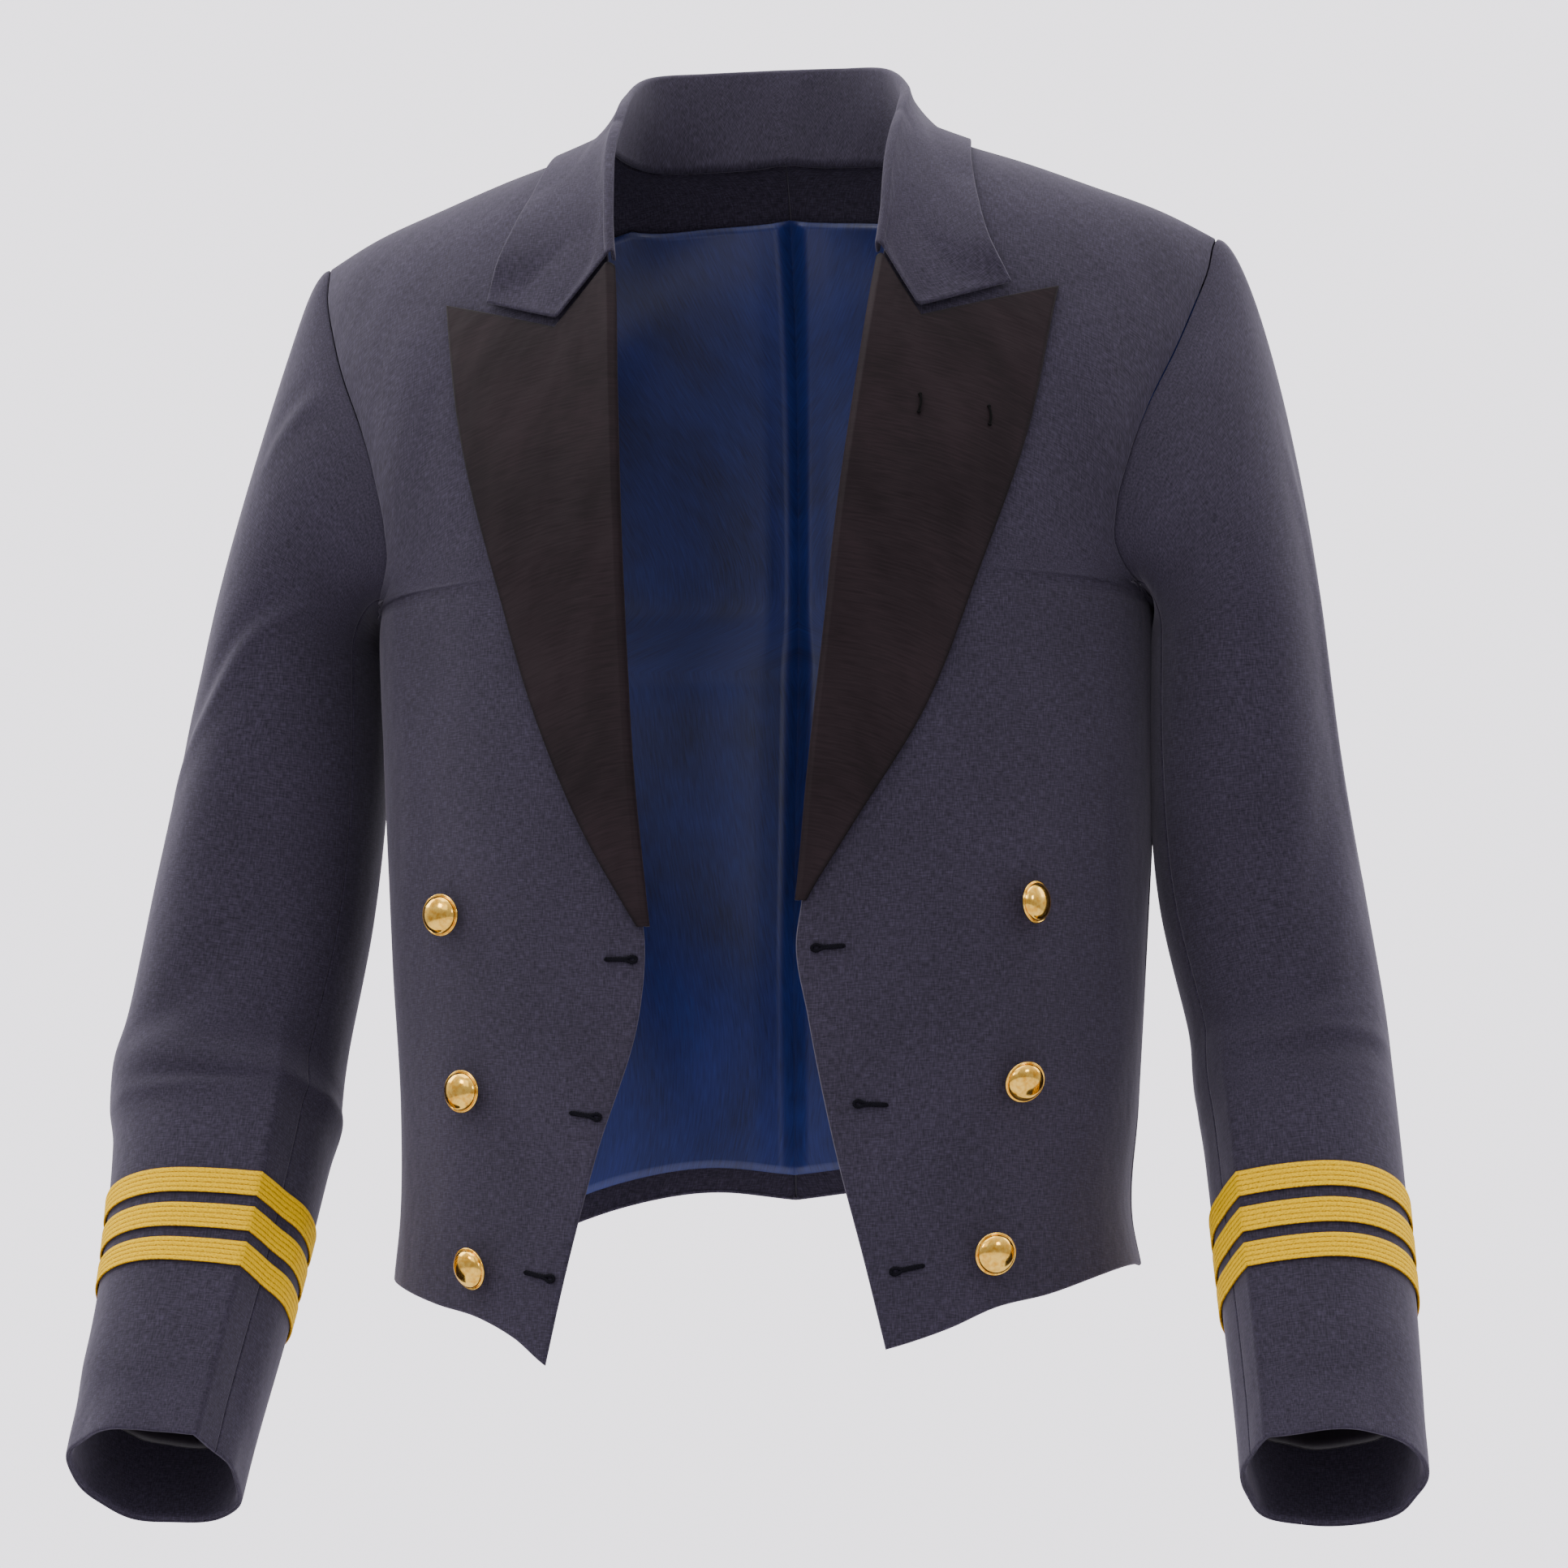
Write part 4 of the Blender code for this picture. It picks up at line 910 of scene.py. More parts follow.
def bump(tree: Any, height: Any, strength: float, rise_mm: float, under: Any = None) -> Any:
    """Normals of a height of so many millimetres, over other normals where they are given."""
    inputs = {"Height": height, "Strength": strength, "Distance": rise_mm * MM}
    if under is not None:
        inputs["Normal"] = under
    return add_node(tree, "ShaderNodeBump", inputs).outputs[0]


@dataclass(frozen=True)
class WorstedBarathea:
    """Fine worsted barathea, dyed in the wool: dark blue-grey with lighter and violet fibres.

    The mixed fibres give short streaks along both threads, and the soft nap lights up where the
    cloth turns away.
    """

    name: str = "worsted_barathea"
    dark: str = "#211d28"
    ground: str = "#2f2a38"
    light: str = "#403a4b"
    thread_mm: float = 0.7
    slub_mm: float = 4.0
    rib_mm: float = 1.1
    roughness: float = 0.88
    nap: float = 0.26

    def material(self) -> bpy.types.Material:
        """The cloth's material; threads of 0.4 mm are drawn 0.7 mm apart, so that they show."""
        made, tree, shader = new_material(self.name)
        uv = grain_place(tree)
        warp = streaks(tree, uv, self.thread_mm, self.slub_mm)
        weft = streaks(tree, uv, self.slub_mm, self.thread_mm)
        cloud = added(tree, streaks(tree, uv, 45.0, 60.0), 0.5, "SUBTRACT")
        mixed = added(tree, added(tree, warp, weft), 0.5, "MULTIPLY")
        tone = added(tree, mixed, added(tree, cloud, 0.12, "MULTIPLY"))
        bands = {"Vector": uv, "Scale": 1 / (self.rib_mm * MM * 20), "Distortion": 1.5, "Detail": 1.0}
        rib = add_node(tree, "ShaderNodeTexWave", bands, wave_type="BANDS", bands_direction="DIAGONAL")
        weave = added(tree, added(tree, rib.outputs["Fac"], 0.35, "MULTIPLY"), mixed)
        handle = bump(tree, streaks(tree, uv, 22.0, 38.0), 0.6, 1.6)
        surface = {
            "Base Color": toned(tree, tone, (0.36, self.dark), (0.50, self.ground), (0.66, self.light)),
            "Normal": bump(tree, weave, 0.3, 0.25, handle),
            "Roughness": self.roughness,
            "Specular IOR Level": 0.25,
            "Sheen Weight": self.nap,
            "Sheen Roughness": 0.45,
            "Sheen Tint": linear("#d6cfe0"),
        }
        set_inputs(tree, shader, surface)
        return made


@dataclass(frozen=True)
class FacingSilk:
    """Dull black silk facing: a fine crosswise rib, with painted shade darkening it along its turned edge.
    """

    name: str = "facing_silk"
    dark: str = "#1b1416"
    light: str = "#291f22"
    rib_mm: float = 1.0
    painted_edge_shade: float = 0.75
    roughness: float = 0.58

    def material(self) -> bpy.types.Material:
        """The facing's material; ribs of 0.4 mm are drawn 1 mm apart."""
        made, tree, shader = new_material(self.name)
        uv = grain_place(tree)
        rib = streaks(tree, uv, 14.0, self.rib_mm)
        tone = added(tree, added(tree, rib, streaks(tree, uv, 30.0, 45.0)), 0.5, "MULTIPLY")
        colour = toned(tree, tone, (0.35, self.dark), (0.65, self.light))
        # Painted shade: the colour is darkened where the edge mark is high, next to the turned edge.
        edge = add_node(tree, "ShaderNodeAttribute", attribute_name="edge").outputs["Fac"]
        shade = added(tree, 1.0, added(tree, edge, self.painted_edge_shade, "MULTIPLY"), "SUBTRACT")
        darker = add_node(tree, "ShaderNodeVectorMath", {0: colour, 1: shade}, operation="MULTIPLY")
        handle = bump(tree, streaks(tree, uv, 16.0, 26.0), 0.6, 1.5)
        surface = {
            "Base Color": darker.outputs[0],
            "Normal": bump(tree, rib, 0.25, 0.12, handle),
            "Roughness": self.roughness,
            "Specular IOR Level": 0.09,
            "Sheen Weight": 0.04,
            "Sheen Tint": linear("#d8cfd0"),
        }
        set_inputs(tree, shader, surface)
        return made


@dataclass(frozen=True)
class LiningSatin:
    """Deep blue satin lining: smooth floats with a silky light across them."""

    name: str = "lining_satin"
    dark: str = "#141c45"
    light: str = "#25347a"
    roughness: float = 0.34
    float_mm: float = 0.8

    def material(self) -> bpy.types.Material:
        """The lining's material; its 0.2 mm floats are drawn as streaks 0.8 mm wide."""
        made, tree, shader = new_material(self.name)
        uv = grain_place(tree)
        floats = streaks(tree, uv, self.float_mm, 12.0)
        tone = added(tree, added(tree, floats, streaks(tree, uv, 40.0, 70.0)), 0.5, "MULTIPLY")
        surface = {
            "Base Color": toned(tree, tone, (0.32, self.dark), (0.68, self.light)),
            "Normal": bump(tree, tone, 0.2, 0.3),
            "Roughness": self.roughness,
            "Specular IOR Level": 0.45,
            "Sheen Weight": 0.1,
        }
        set_inputs(tree, shader, surface)
        return made


@dataclass(frozen=True)
class CuffBraid:
    """Bright yellow flat braid: raised cords along it, bound by fine threads across, with painted shade in
    the valleys between the cords.
    """

    name: str = "cuff_braid"
    deep: str = "#a87200"
    ground: str = "#e6b400"
    light: str = "#ffd000"
    thread_mm: float = 1.1
    painted_valley_shade: float = 0.42
    roughness: float = 0.6

    def material(self) -> bpy.types.Material:
        """The braid's material; its 0.4 mm cross threads are drawn 1.1 mm apart."""
        made, tree, shader = new_material(self.name)
        threads = streaks(tree, grain_place(tree), self.thread_mm, 0.7, 1.0)
        # Painted shade: the valley mark darkens the tone, down towards the deep colour, between the cords.
        valley = add_node(tree, "ShaderNodeAttribute", attribute_name="valley").outputs["Fac"]
        shade = added(tree, valley, self.painted_valley_shade, "MULTIPLY")
        tone = added(tree, threads, shade, "SUBTRACT")
        surface = {
            "Base Color": toned(tree, tone, (0.05, self.deep), (0.34, self.ground), (0.58, self.light)),
            "Normal": bump(tree, threads, 0.4, 0.2),
            "Roughness": self.roughness,
            "Specular IOR Level": 0.05,
        }
        set_inputs(tree, shader, surface)
        return made


@dataclass(frozen=True)
class GiltBrass:
    """Gilt on stamped brass: a warm mirror with faint wiping marks."""

    name: str = "gilt_brass"
    deep: str = "#e0a030"
    light: str = "#ffcf60"
    roughness: float = 0.13
    unevenness: float = 0.14

    def material(self) -> bpy.types.Material:
        """The gilt's material; its marks are even spots about 2 mm across."""
        made, tree, shader = new_material(self.name)
        wear = noise(tree, own_place(tree), 420.0, 3.0)
        uneven = added(tree, wear, self.unevenness, "MULTIPLY")
        surface = {
            "Base Color": toned(tree, wear, (0.3, self.deep), (0.6, self.light)),
            "Roughness": added(tree, uneven, self.roughness - 0.06),
            "Metallic": 1.0,
        }
        set_inputs(tree, shader, surface)
        return made


@dataclass(frozen=True)
class SewingThread:
    """Dull cotton thread: fine twisted strands that read as short slanting marks."""

    name: str
    dark: str
    light: str

    def material(self) -> bpy.types.Material:
        """The thread's material; its twist is drawn 0.5 mm apart."""
        made, tree, shader = new_material(self.name)
        twist = noise(tree, own_place(tree), 2000.0, 1.0)
        surface = {
            "Base Color": toned(tree, twist, (0.35, self.dark), (0.65, self.light)),
            "Normal": bump(tree, twist, 1.0, 0.1),
            "Roughness": 0.8,
            "Specular IOR Level": 0.1,
        }
        set_inputs(tree, shader, surface)
        return made


@dataclass(frozen=True)
class PaleFloor:
    """Matt painted floor of a studio, faintly mottled."""

    name: str = "pale_floor"

    def material(self) -> bpy.types.Material:
        """The floor's material."""
        made, tree, shader = new_material(self.name)
        mottle = noise(tree, own_place(tree), 3.0)
        colour = toned(tree, mottle, (0.3, "#dcdadd"), (0.7, "#e2e0e3"))
        set_inputs(tree, shader, {"Base Color": colour, "Roughness": 0.9})
        return made


def made_by(finish: Any) -> Any:
    """Dataclass field that holds a finish's material, made with its class."""
    return field(default_factory=finish.material)


@dataclass
class Finishes:
    """The materials, made once."""

    cloth: bpy.types.Material = made_by(WorstedBarathea())
    facing: bpy.types.Material = made_by(FacingSilk())
    lining: bpy.types.Material = made_by(LiningSatin())
    braid: bpy.types.Material = made_by(CuffBraid())
    gilt: bpy.types.Material = made_by(GiltBrass())
    sleeve_lining: bpy.types.Material = made_by(
        LiningSatin("sleeve_lining_satin", "#151116", "#2b242c", 0.42)
    )
    hole_thread: bpy.types.Material = made_by(SewingThread("buttonhole_thread", "#050409", "#0f0d17"))
    bar_thread: bpy.types.Material = made_by(SewingThread("bar_thread", "#040304", "#0b0909"))


# Meshes


def grid_faces(rows: int, columns: int, closed: bool) -> np.ndarray:
    """Corner numbers of a grid's quads, joined round its columns where it is closed."""
    row = np.arange(rows - 1)[:, None]
    first = np.arange(columns if closed else columns - 1)[None]
    after = (first + 1) % columns
    corners = (row * columns + first, row * columns + after, (row + 1) * columns + after)
    return np.stack([*corners, (row + 1) * columns + first], -1).reshape(-1, 4)


def mesh_piece(
    name: str, points: np.ndarray, faces: np.ndarray, finish: bpy.types.Material
) -> bpy.types.Object:
    """New object at the origin, smooth, from points and faces, with its material."""
    mesh = bpy.data.meshes.new(name)
    mesh.from_pydata(points.tolist(), [], faces.tolist())
    mesh.update()
    mesh.shade_smooth()
    mesh.materials.append(finish)
    piece = bpy.data.objects.new(name, mesh)
    bpy.context.scene.collection.objects.link(piece)
    return piece


def ring_piece(name: str, grid: np.ndarray, finish: bpy.types.Material) -> bpy.types.Object:
    """New object from a grid whose last column meets its first."""
    return mesh_piece(name, grid.reshape(-1, 3), grid_faces(*grid.shape[:2], True), finish)


def mark(piece: bpy.types.Object, name: str, values: np.ndarray) -> None:
    """Stores a number for each point of a piece, for its material to read."""
    stored = piece.data.attributes.new(name, "FLOAT", "POINT")
    stored.data.foreach_set("value", values.astype(np.float32).ravel())


def tube_round(path: np.ndarray, first: np.ndarray, second: np.ndarray, size: Any) -> np.ndarray:
    """Tube round a path, a row for each place: path + size (first cos a + second sin a)."""
    angle = np.linspace(0, 2 * math.pi, TUBE_COLUMNS, endpoint=False)[None, :, None]
    second = np.broadcast_to(second, path.shape)
    return path[:, None] + size * (first[:, None] * np.cos(angle) + second[:, None] * np.sin(angle))


def looped(grid: np.ndarray) -> np.ndarray:
    """The grid with its first column once more at its end."""
    return np.concatenate([grid, grid[:, :1]], 1)


def grain_of(grid: np.ndarray, closed: bool) -> np.ndarray:
    """Place of each point on the flat cloth, in metres.

    The first value is the length across from the first column plus that column's x, the second
    the length down the rows plus the first row's height. A closed grid has one column more.
    """
    whole = looped(grid) if closed else grid
    across = lengths_along(whole, 1) + whole[:, :1, 0]
    return np.stack([across, lengths_along(whole, 0) + whole[:1, :, 2]], -1)


def grain_map(piece: bpy.types.Object, flat: np.ndarray, columns: int, closed: bool, mirrored: bool) -> None:
    """UV map in metres of cloth, from the flat place of each point.

    Args:
        piece: object made from the grid.
        flat: flat place of each point.
        columns: columns of the grid.
        closed: whether its last column meets its first.
        mirrored: whether its faces were reversed.
    """
    rows = flat.shape[0]
    quads = columns if closed else columns - 1
    corners = np.array([[0, 0], [0, 1], [1, 1], [1, 0]])
    if mirrored:
        corners = corners[::-1]
    i = np.arange(rows - 1)[:, None, None] + corners[None, None, :, 0]
    j = np.arange(quads)[None, :, None] + corners[None, None, :, 1]
    layer = piece.data.uv_layers.new(name="grain")
    layer.data.foreach_set("uv", flat[i, j].astype(np.float32).ravel())


@dataclass(frozen=True)
class Cut:
    """Flat cut of a sheet: width, length and area, from the lengths of its grid."""

    width: float
    length: float
    area: float

    @staticmethod
    def of(grid: np.ndarray, closed: bool = False) -> "Cut":
        """The cut of a grid: its widest row, its longest column and the sum of its quads."""
        whole = looped(grid) if closed else grid
        width = float(lengths_along(whole, 1)[:, -1].max())
        length = float(lengths_along(whole, 0)[-1].max())
        diagonal = whole[1:, 1:] - whole[:-1, :-1]
        other = whole[1:, :-1] - whole[:-1, 1:]
        return Cut(width, length, float(np.linalg.norm(np.cross(diagonal, other), axis=-1).sum() / 2))


class Held(Enum):
    """How a sheet is held."""

    DRAPED = "draped"
    FOLDED = "folded"
    LAID = "laid"


def cloth_piece(
    name: str,
    grid: np.ndarray,
    wall: float,
    finish: bpy.types.Material,
    side: Side = Side.LEFT,
    closed: bool = False,
    flat: np.ndarray | None = None,
) -> bpy.types.Object:
    """One sheet with a wall given inwards, mirrored on the wearer's right.

    Args:
        name: object name.
        grid: its outer surface, x outwards.
        wall: its thickness.
        finish: its material.
        side: side of the wearer.
        closed: whether its last column meets its first.
        flat: flat place of each point, where the lengths along the grid don't serve.

    Returns:
        The piece.
    """
    faces = grid_faces(*grid.shape[:2], closed)
    mirrored = side is Side.RIGHT
    points = grid * np.array([side.sign, 1, 1])
    piece = mesh_piece(name, points.reshape(-1, 3), faces[:, ::-1] if mirrored else faces, finish)
    grain_map(piece, grain_of(grid, closed) if flat is None else flat, grid.shape[1], closed, mirrored)
    solidify = piece.modifiers.new("wall", "SOLIDIFY")
    solidify.thickness = wall
    solidify.offset = -1
    return piece


def settle(piece: bpy.types.Object, nodes: Sequence[str] = ()) -> None:
    """Rides a piece on the root, and hides the nodes that it replaces."""
    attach(piece, "root")
    if nodes:
        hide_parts(*nodes)
    log.info("%s placed", piece.name)


def declare(
    piece: bpy.types.Object,
    cut: Cut,
    nodes: Sequence[str],
) -> None:
    """Settles a sheet on the root, and hides the nodes that it replaces."""
    settle(piece, nodes)


# Body


@dataclass
class Body:
    """Fore parts and back halves."""

    finishes: Finishes
    edge_roll: float = 1.5 * MM
    seam_roll: float = 1.1 * MM
    columns: int = 92
    low_rows: int = 100
    high_rows: int = 96
    underarm_rows: tuple[float, ...] = (0.003, 0.007, 0.013)
    gap: float = 0.1 * SEAM_GAP

    def rows(self) -> tuple[np.ndarray, np.ndarray]:
        """Rows below and above the chest, close together at the hem, underarm and shoulder."""
        low = 1 - near_edges(self.low_rows, 0.008)[:-4]
        high = near_edges(self.high_rows, 0.012)[5:]
        return np.append(low[:-1], 0.0), np.append(self.underarm_rows, high)

    def build(self) -> None:
        """Makes the four panels, a hair's breadth apart at the side seams."""
        low, high = self.rows()
        panels = (
            (TORSO.front, "fore_part", "front", FRONT_CREASES, 0.012, self.edge_roll, -self.gap),
            (TORSO.back, "back_half", "back", BACK_CREASES, 0.010, self.seam_roll, self.gap),
        )
        for side in Side:
            for form, name, node, creases, rim, roll, gap in panels:
                bare = form(side, near_edges(self.columns, rim), low, high)
                grid = moved_out(bare, body_heights(creases[side], bare))
                edges = Edges(self.edge_roll, self.seam_roll, roll, self.seam_roll)
                grid = moved_out(grid, edges.drops(bare)) + np.array([0, gap, 0])
                piece = cloth_piece(f"{name}_{side.value}", grid, CLOTH, self.finishes.cloth, side)
                declare(piece, Cut.of(bare), [f"{node}_{side.value}"])


# Lapels and collar


@dataclass
class Lapels:
    """Turned-back lapels: leaf on the front, soft roll at the fold, and peak."""

    finishes: Finishes
    lift: float = 0.6 * MM + CLOTH
    roll: float = 2.2 * MM
    roll_reach: float = 0.022
    edge_roll: float = 1.3 * MM
    edge_shade_reach: float = 3.4 * MM
    rows: int = 150
    columns: int = 84

    def seat(self, side: Side, columns: np.ndarray, rows: np.ndarray) -> np.ndarray:
        """The front's surface under a lapel.

        Rows run from the break (0) to the gorge (1) and columns from the fold (0) to the edge
        (1). Near the gorge the rows bend from straight lines to the gorge seam and the notch.
        """
        edge, leaf = column(FRONT_EDGE, "z", side.value), column(LAPEL_EDGE, "z", side.value)
        notch = np.array(NOTCH)
        fold_top = np.array([float(edge(GORGE_Z)), GORGE_Z])
        peak = np.array([float(leaf(PEAK_Z)), PEAK_Z])
        first = np.linalg.norm(notch - fold_top)
        turn = first / (first + np.linalg.norm(peak - notch))
        t = columns[:, None]
        before = fold_top + (notch - fold_top) * t / turn
        after = notch + (peak - notch) * (t - turn) / (1 - turn)
        top = np.where(t < turn, before, after)
        z_in = BREAK_Z[side] + (GORGE_Z - BREAK_Z[side]) * rows
        z_out = BREAK_Z[side] + (PEAK_Z - BREAK_Z[side]) * rows
        fold = np.stack([edge(z_in), z_in], -1)
        rim = np.stack([leaf(z_out), z_out], -1)
        straight_top = fold_top + (peak - fold_top) * t
        flat = fold[:, None] + (rim - fold)[:, None] * t
        flat = flat + (top - straight_top) * (rows**6)[:, None, None]
        return TORSO.at(side, flat[..., 0], flat[..., 1])

    def sheet(self, side: Side) -> np.ndarray:
        """The leaf, lifted off the front more towards the fold, and its turn round the edge."""
        rows = near_edges(self.rows, 0.012) * 0.985 + 0.012
        columns = near_edges(self.columns, 0.03)
        seat = self.seat(side, columns, rows)
        out = normals_of(seat)
        breadth = np.linalg.norm(seat[:, -1] - seat[:, 0], axis=-1, keepdims=True)
        roll = self.roll * np.exp(-columns * breadth / self.roll_reach)
        lift = self.lift + roll * np.clip(breadth / 0.04, 0.2, 1)
        lift = lift * (0.5 + 0.5 * smooth_step(rows / 0.05)[:, None])
        heights = body_heights((*FRONT_CREASES[side][:2], *LAPEL_CREASES[side]), seat)
        drops = Edges(0.0, self.edge_roll, 0.0, self.edge_roll).drops(seat)
        leaf = seat + out * (lift + heights + drops)[..., None]
        rim, normal = seat[:, 0], out[:, 0]
        centre = unit(np.cross(normal, np.gradient(rim, axis=0)))
        centre = centre * np.where(centre[:, :1] > 0, -1, 1)
        turn = np.linspace(0, 1, 12)[:-1]
        places = (0.0, 0.36, 0.68, 1.0)
        across = through(places, (2.9 * MM, 3.2 * MM, 2.3 * MM, 0.0))(turn)
        up = through(places, (-1.9 * MM, 0.4 * MM, 2.8 * MM, 4.8 * MM))(turn)
        rise = (lift[:, :1] - 4.8 * MM) * turn[None] ** 2 + up[None]
        fold = rim[:, None] + centre[:, None] * across[None, :, None] + normal[:, None] * rise[..., None]
        return np.concatenate([fold, leaf], 1)

    def build(self) -> None:
        """Makes both lapels."""
        for side in Side:
            grid = self.sheet(side)
            piece = cloth_piece(f"lapel_silk_{side.value}", grid, CLOTH, self.finishes.facing, side)
            across, down = lengths_along(grid, 1), lengths_along(grid, 0)
            inside = np.minimum(across[:, -1:] - across, down[-1:] - down)
            # Edge mark for the facing's painted shade: 1 at the outer and top edges, fading to 0 within the
            # reach.
            mark(piece, "edge", smooth_step(1 - inside / self.edge_shade_reach))
            nodes, under = [f"lapel_{side.value}"], [f"fore_part_{side.value}"]
            declare(piece, Cut.of(grid), nodes)


@dataclass
class Collar:
    """Turned-down collar: stand, roll and fall, from gorge to gorge."""

    finishes: Finishes
    lift: float = 2.1 * MM + CLOTH
    roll: float = 2.8 * MM
    inset: float = 3.8 * MM
    below: float = 4.0 * MM
    fold_height: float = 7.7 * MM
    gorge_gap: float = 1.0 * MM
    lean_from: float = 0.40
    lean_full: float = 0.72
    notch_step: float = 0.42
    edge_roll: float = 1.3 * MM
    end_stations: tuple[float, ...] = (0.012, 0.014, 0.017, 0.021)
    stations: int = 120

    def lines(self, side: Side, u: np.ndarray) -> list[np.ndarray]:
        """Root, fold, middle and edge lines of half the collar, and the way out of the stand."""
        knots = [row.u for row in COLLAR]
        edge_x = float(column(FRONT_EDGE, "z", side.value)(GORGE_Z))
        starts = (
            (edge_x - self.inset, GORGE_Z + self.gorge_gap),
            (NOTCH[0], NOTCH[1] + self.gorge_gap),
            COLLAR_CORNER[side],
        )
        lines = []
        leaning = smooth_step((u - self.lean_from) / (self.lean_full - self.lean_from))
        for key, (x, z) in zip(("fold", "middle", "edge"), starts):
            places = np.array([getattr(row, key) for row in COLLAR])
            places[0] = (x, places[0, 1], z)
            line = np.stack([through(knots, places[:, k])(u) for k in range(3)], -1)
            line[:, 0] -= side.sign * COLLAR_LEAN[key] * leaning
            lines.append(line)
        neck, out, into = TORSO.neckline(side, u)
        root = neck + into * self.inset - out * (1.0 * MM)
        at_front = np.exp(-((u / 0.12) ** 2))[:, None]
        lines[0] = lines[0] + (neck + (into + out) * self.inset - lines[0]) * at_front
        kept = np.minimum(lines[0][:, 0], root[:, 0])
        lines[0][:, 0] = lines[0][:, 0] + (kept - lines[0][:, 0]) * smooth_step((0.42 - u) / 0.2)
        raised = TORSO.outside(lines[0], np.full(len(u), self.fold_height))
        lines[0] = lines[0] + (raised - lines[0]) * smooth_step((0.52 - u) / 0.22)[:, None]
        leaning = smooth_step((u - 0.18) / 0.2)[:, None]
        radial = unit(lines[1] * (1, 1, 0))
        outwards = unit(unit((lines[1] - root) * (1, 1, 0.3)) * (1 - leaning) + radial * leaning)
        return [root, outwards, *lines]

    def half(self, side: Side, u: np.ndarray) -> np.ndarray:
        """Half of the collar, a row for each station: straight stand, round roll, curved fall."""
        root, outwards, fold, middle, edge = (line[:, None] for line in self.lines(side, u))
        length = np.linalg.norm(fold - root, axis=-1, keepdims=True)
        rise = (fold - root) / length
        under = fold - rise * np.minimum(self.roll, 0.4 * length)
        root = root - rise * self.below * smooth_step((u - 0.34) / 0.15)[:, None, None]
        stand = root + (under - root) * np.linspace(0, 1, 12)[:-1][None, :, None]
        angle = np.linspace(0, math.pi, 13)[:-1][None, :, None]
        reach = 0.95 * self.roll
        hub = under + outwards * reach
        arc = hub - outwards * reach * np.cos(angle) + rise * self.roll * np.sin(angle)
        start = under + outwards * 2 * reach
        s = np.append(near_edges(34, 0.03)[:-1], 1.0)[None, :, None]
        curved = start * (1 - s) * (1 - 2 * s) + middle * 4 * s * (1 - s) + edge * s * (2 * s - 1)
        first = start + (middle - start) * s / self.notch_step
        second = middle + (edge - middle) * (s - self.notch_step) / (1 - self.notch_step)
        kinked = np.where(s < self.notch_step, first, second)
        straight = np.exp(-((u / 0.07) ** 2))[:, None, None]
        point = kinked * straight + curved * (1 - straight)
        ease = (0.25 + 0.45 * smooth_step((u - 0.35) / 0.3))[:, None]
        lift = self.lift * (1 + ease * (1 - s[..., 0]))
        laid = TORSO.at(side, point[..., 0], point[..., 2]) - np.array([0, 1, 0]) * lift[..., None] * 1.15
        point = laid * straight + point * (1 - straight)
        fall = TORSO.outside(point, lift)
        return np.concatenate([stand, arc, fall], 1)

    def build(self) -> None:
        """Makes the collar."""
        u = np.append(self.end_stations, np.linspace(0.026, 1, self.stations))
        left = self.half(Side.LEFT, u)
        right = self.half(Side.RIGHT, u) * (-1, 1, 1)
        bare = np.concatenate([right[:-1], left[::-1]])[:, ::-1]
        drops = Edges(self.edge_roll, self.edge_roll, self.edge_roll, 0.0).drops(bare)
        piece = cloth_piece("collar_cloth", moved_out(bare, drops), CLOTH, self.finishes.cloth)
        declare(piece, Cut.of(bare), ["collar"])


# Sleeves


@dataclass
class Sleeves:
    """Top sleeves and under sleeves."""

    finishes: Finishes
    forearm_seam: float = math.radians(148)
    hindarm_seam: float = math.radians(250)
    seam_turn: float = 0.0004
    seam_roll: float = 1.0 * MM
    cuff_roll: float = 1.3 * MM
    top_columns: int = 86
    under_columns: int = 34
    rows: int = 196

    def build(self) -> None:
        """Makes the four sleeve pieces, with the pressed edge exactly on a column."""
        along = near_edges(self.rows, 0.004)
        for side in Side:
            arm = Arm(side)
            start, stop = self.hindarm_seam - 2 * math.pi, self.forearm_seam
            share = near_edges(self.top_columns, 0.012)
            top = start + self.seam_turn + (stop - start - 2 * self.seam_turn) * share
            top[np.argmin(np.abs(top - PRESSED_EDGE))] = PRESSED_EDGE
            share = near_edges(self.under_columns, 0.03)
            under = stop + self.seam_turn + (self.hindarm_seam - stop - 2 * self.seam_turn) * share
            for label, angles in (("top", top), ("under", under)):
                bare = arm.rows(along, angles)
                heights = arm_heights(side, along, angles)
                edges = Edges(self.seam_roll, self.cuff_roll, self.seam_roll, self.seam_roll)
                grid = bare + arm.out_of(bare) * (heights + edges.drops(bare))[..., None]
                name = f"{label}_sleeve_{side.value}"
                flat = arm.grain(along, angles)
                piece = cloth_piece(name, grid, CLOTH, self.finishes.cloth, side, flat=flat)
                declare(piece, Cut.of(bare), [f"{label}sleeve_{side.value}"])


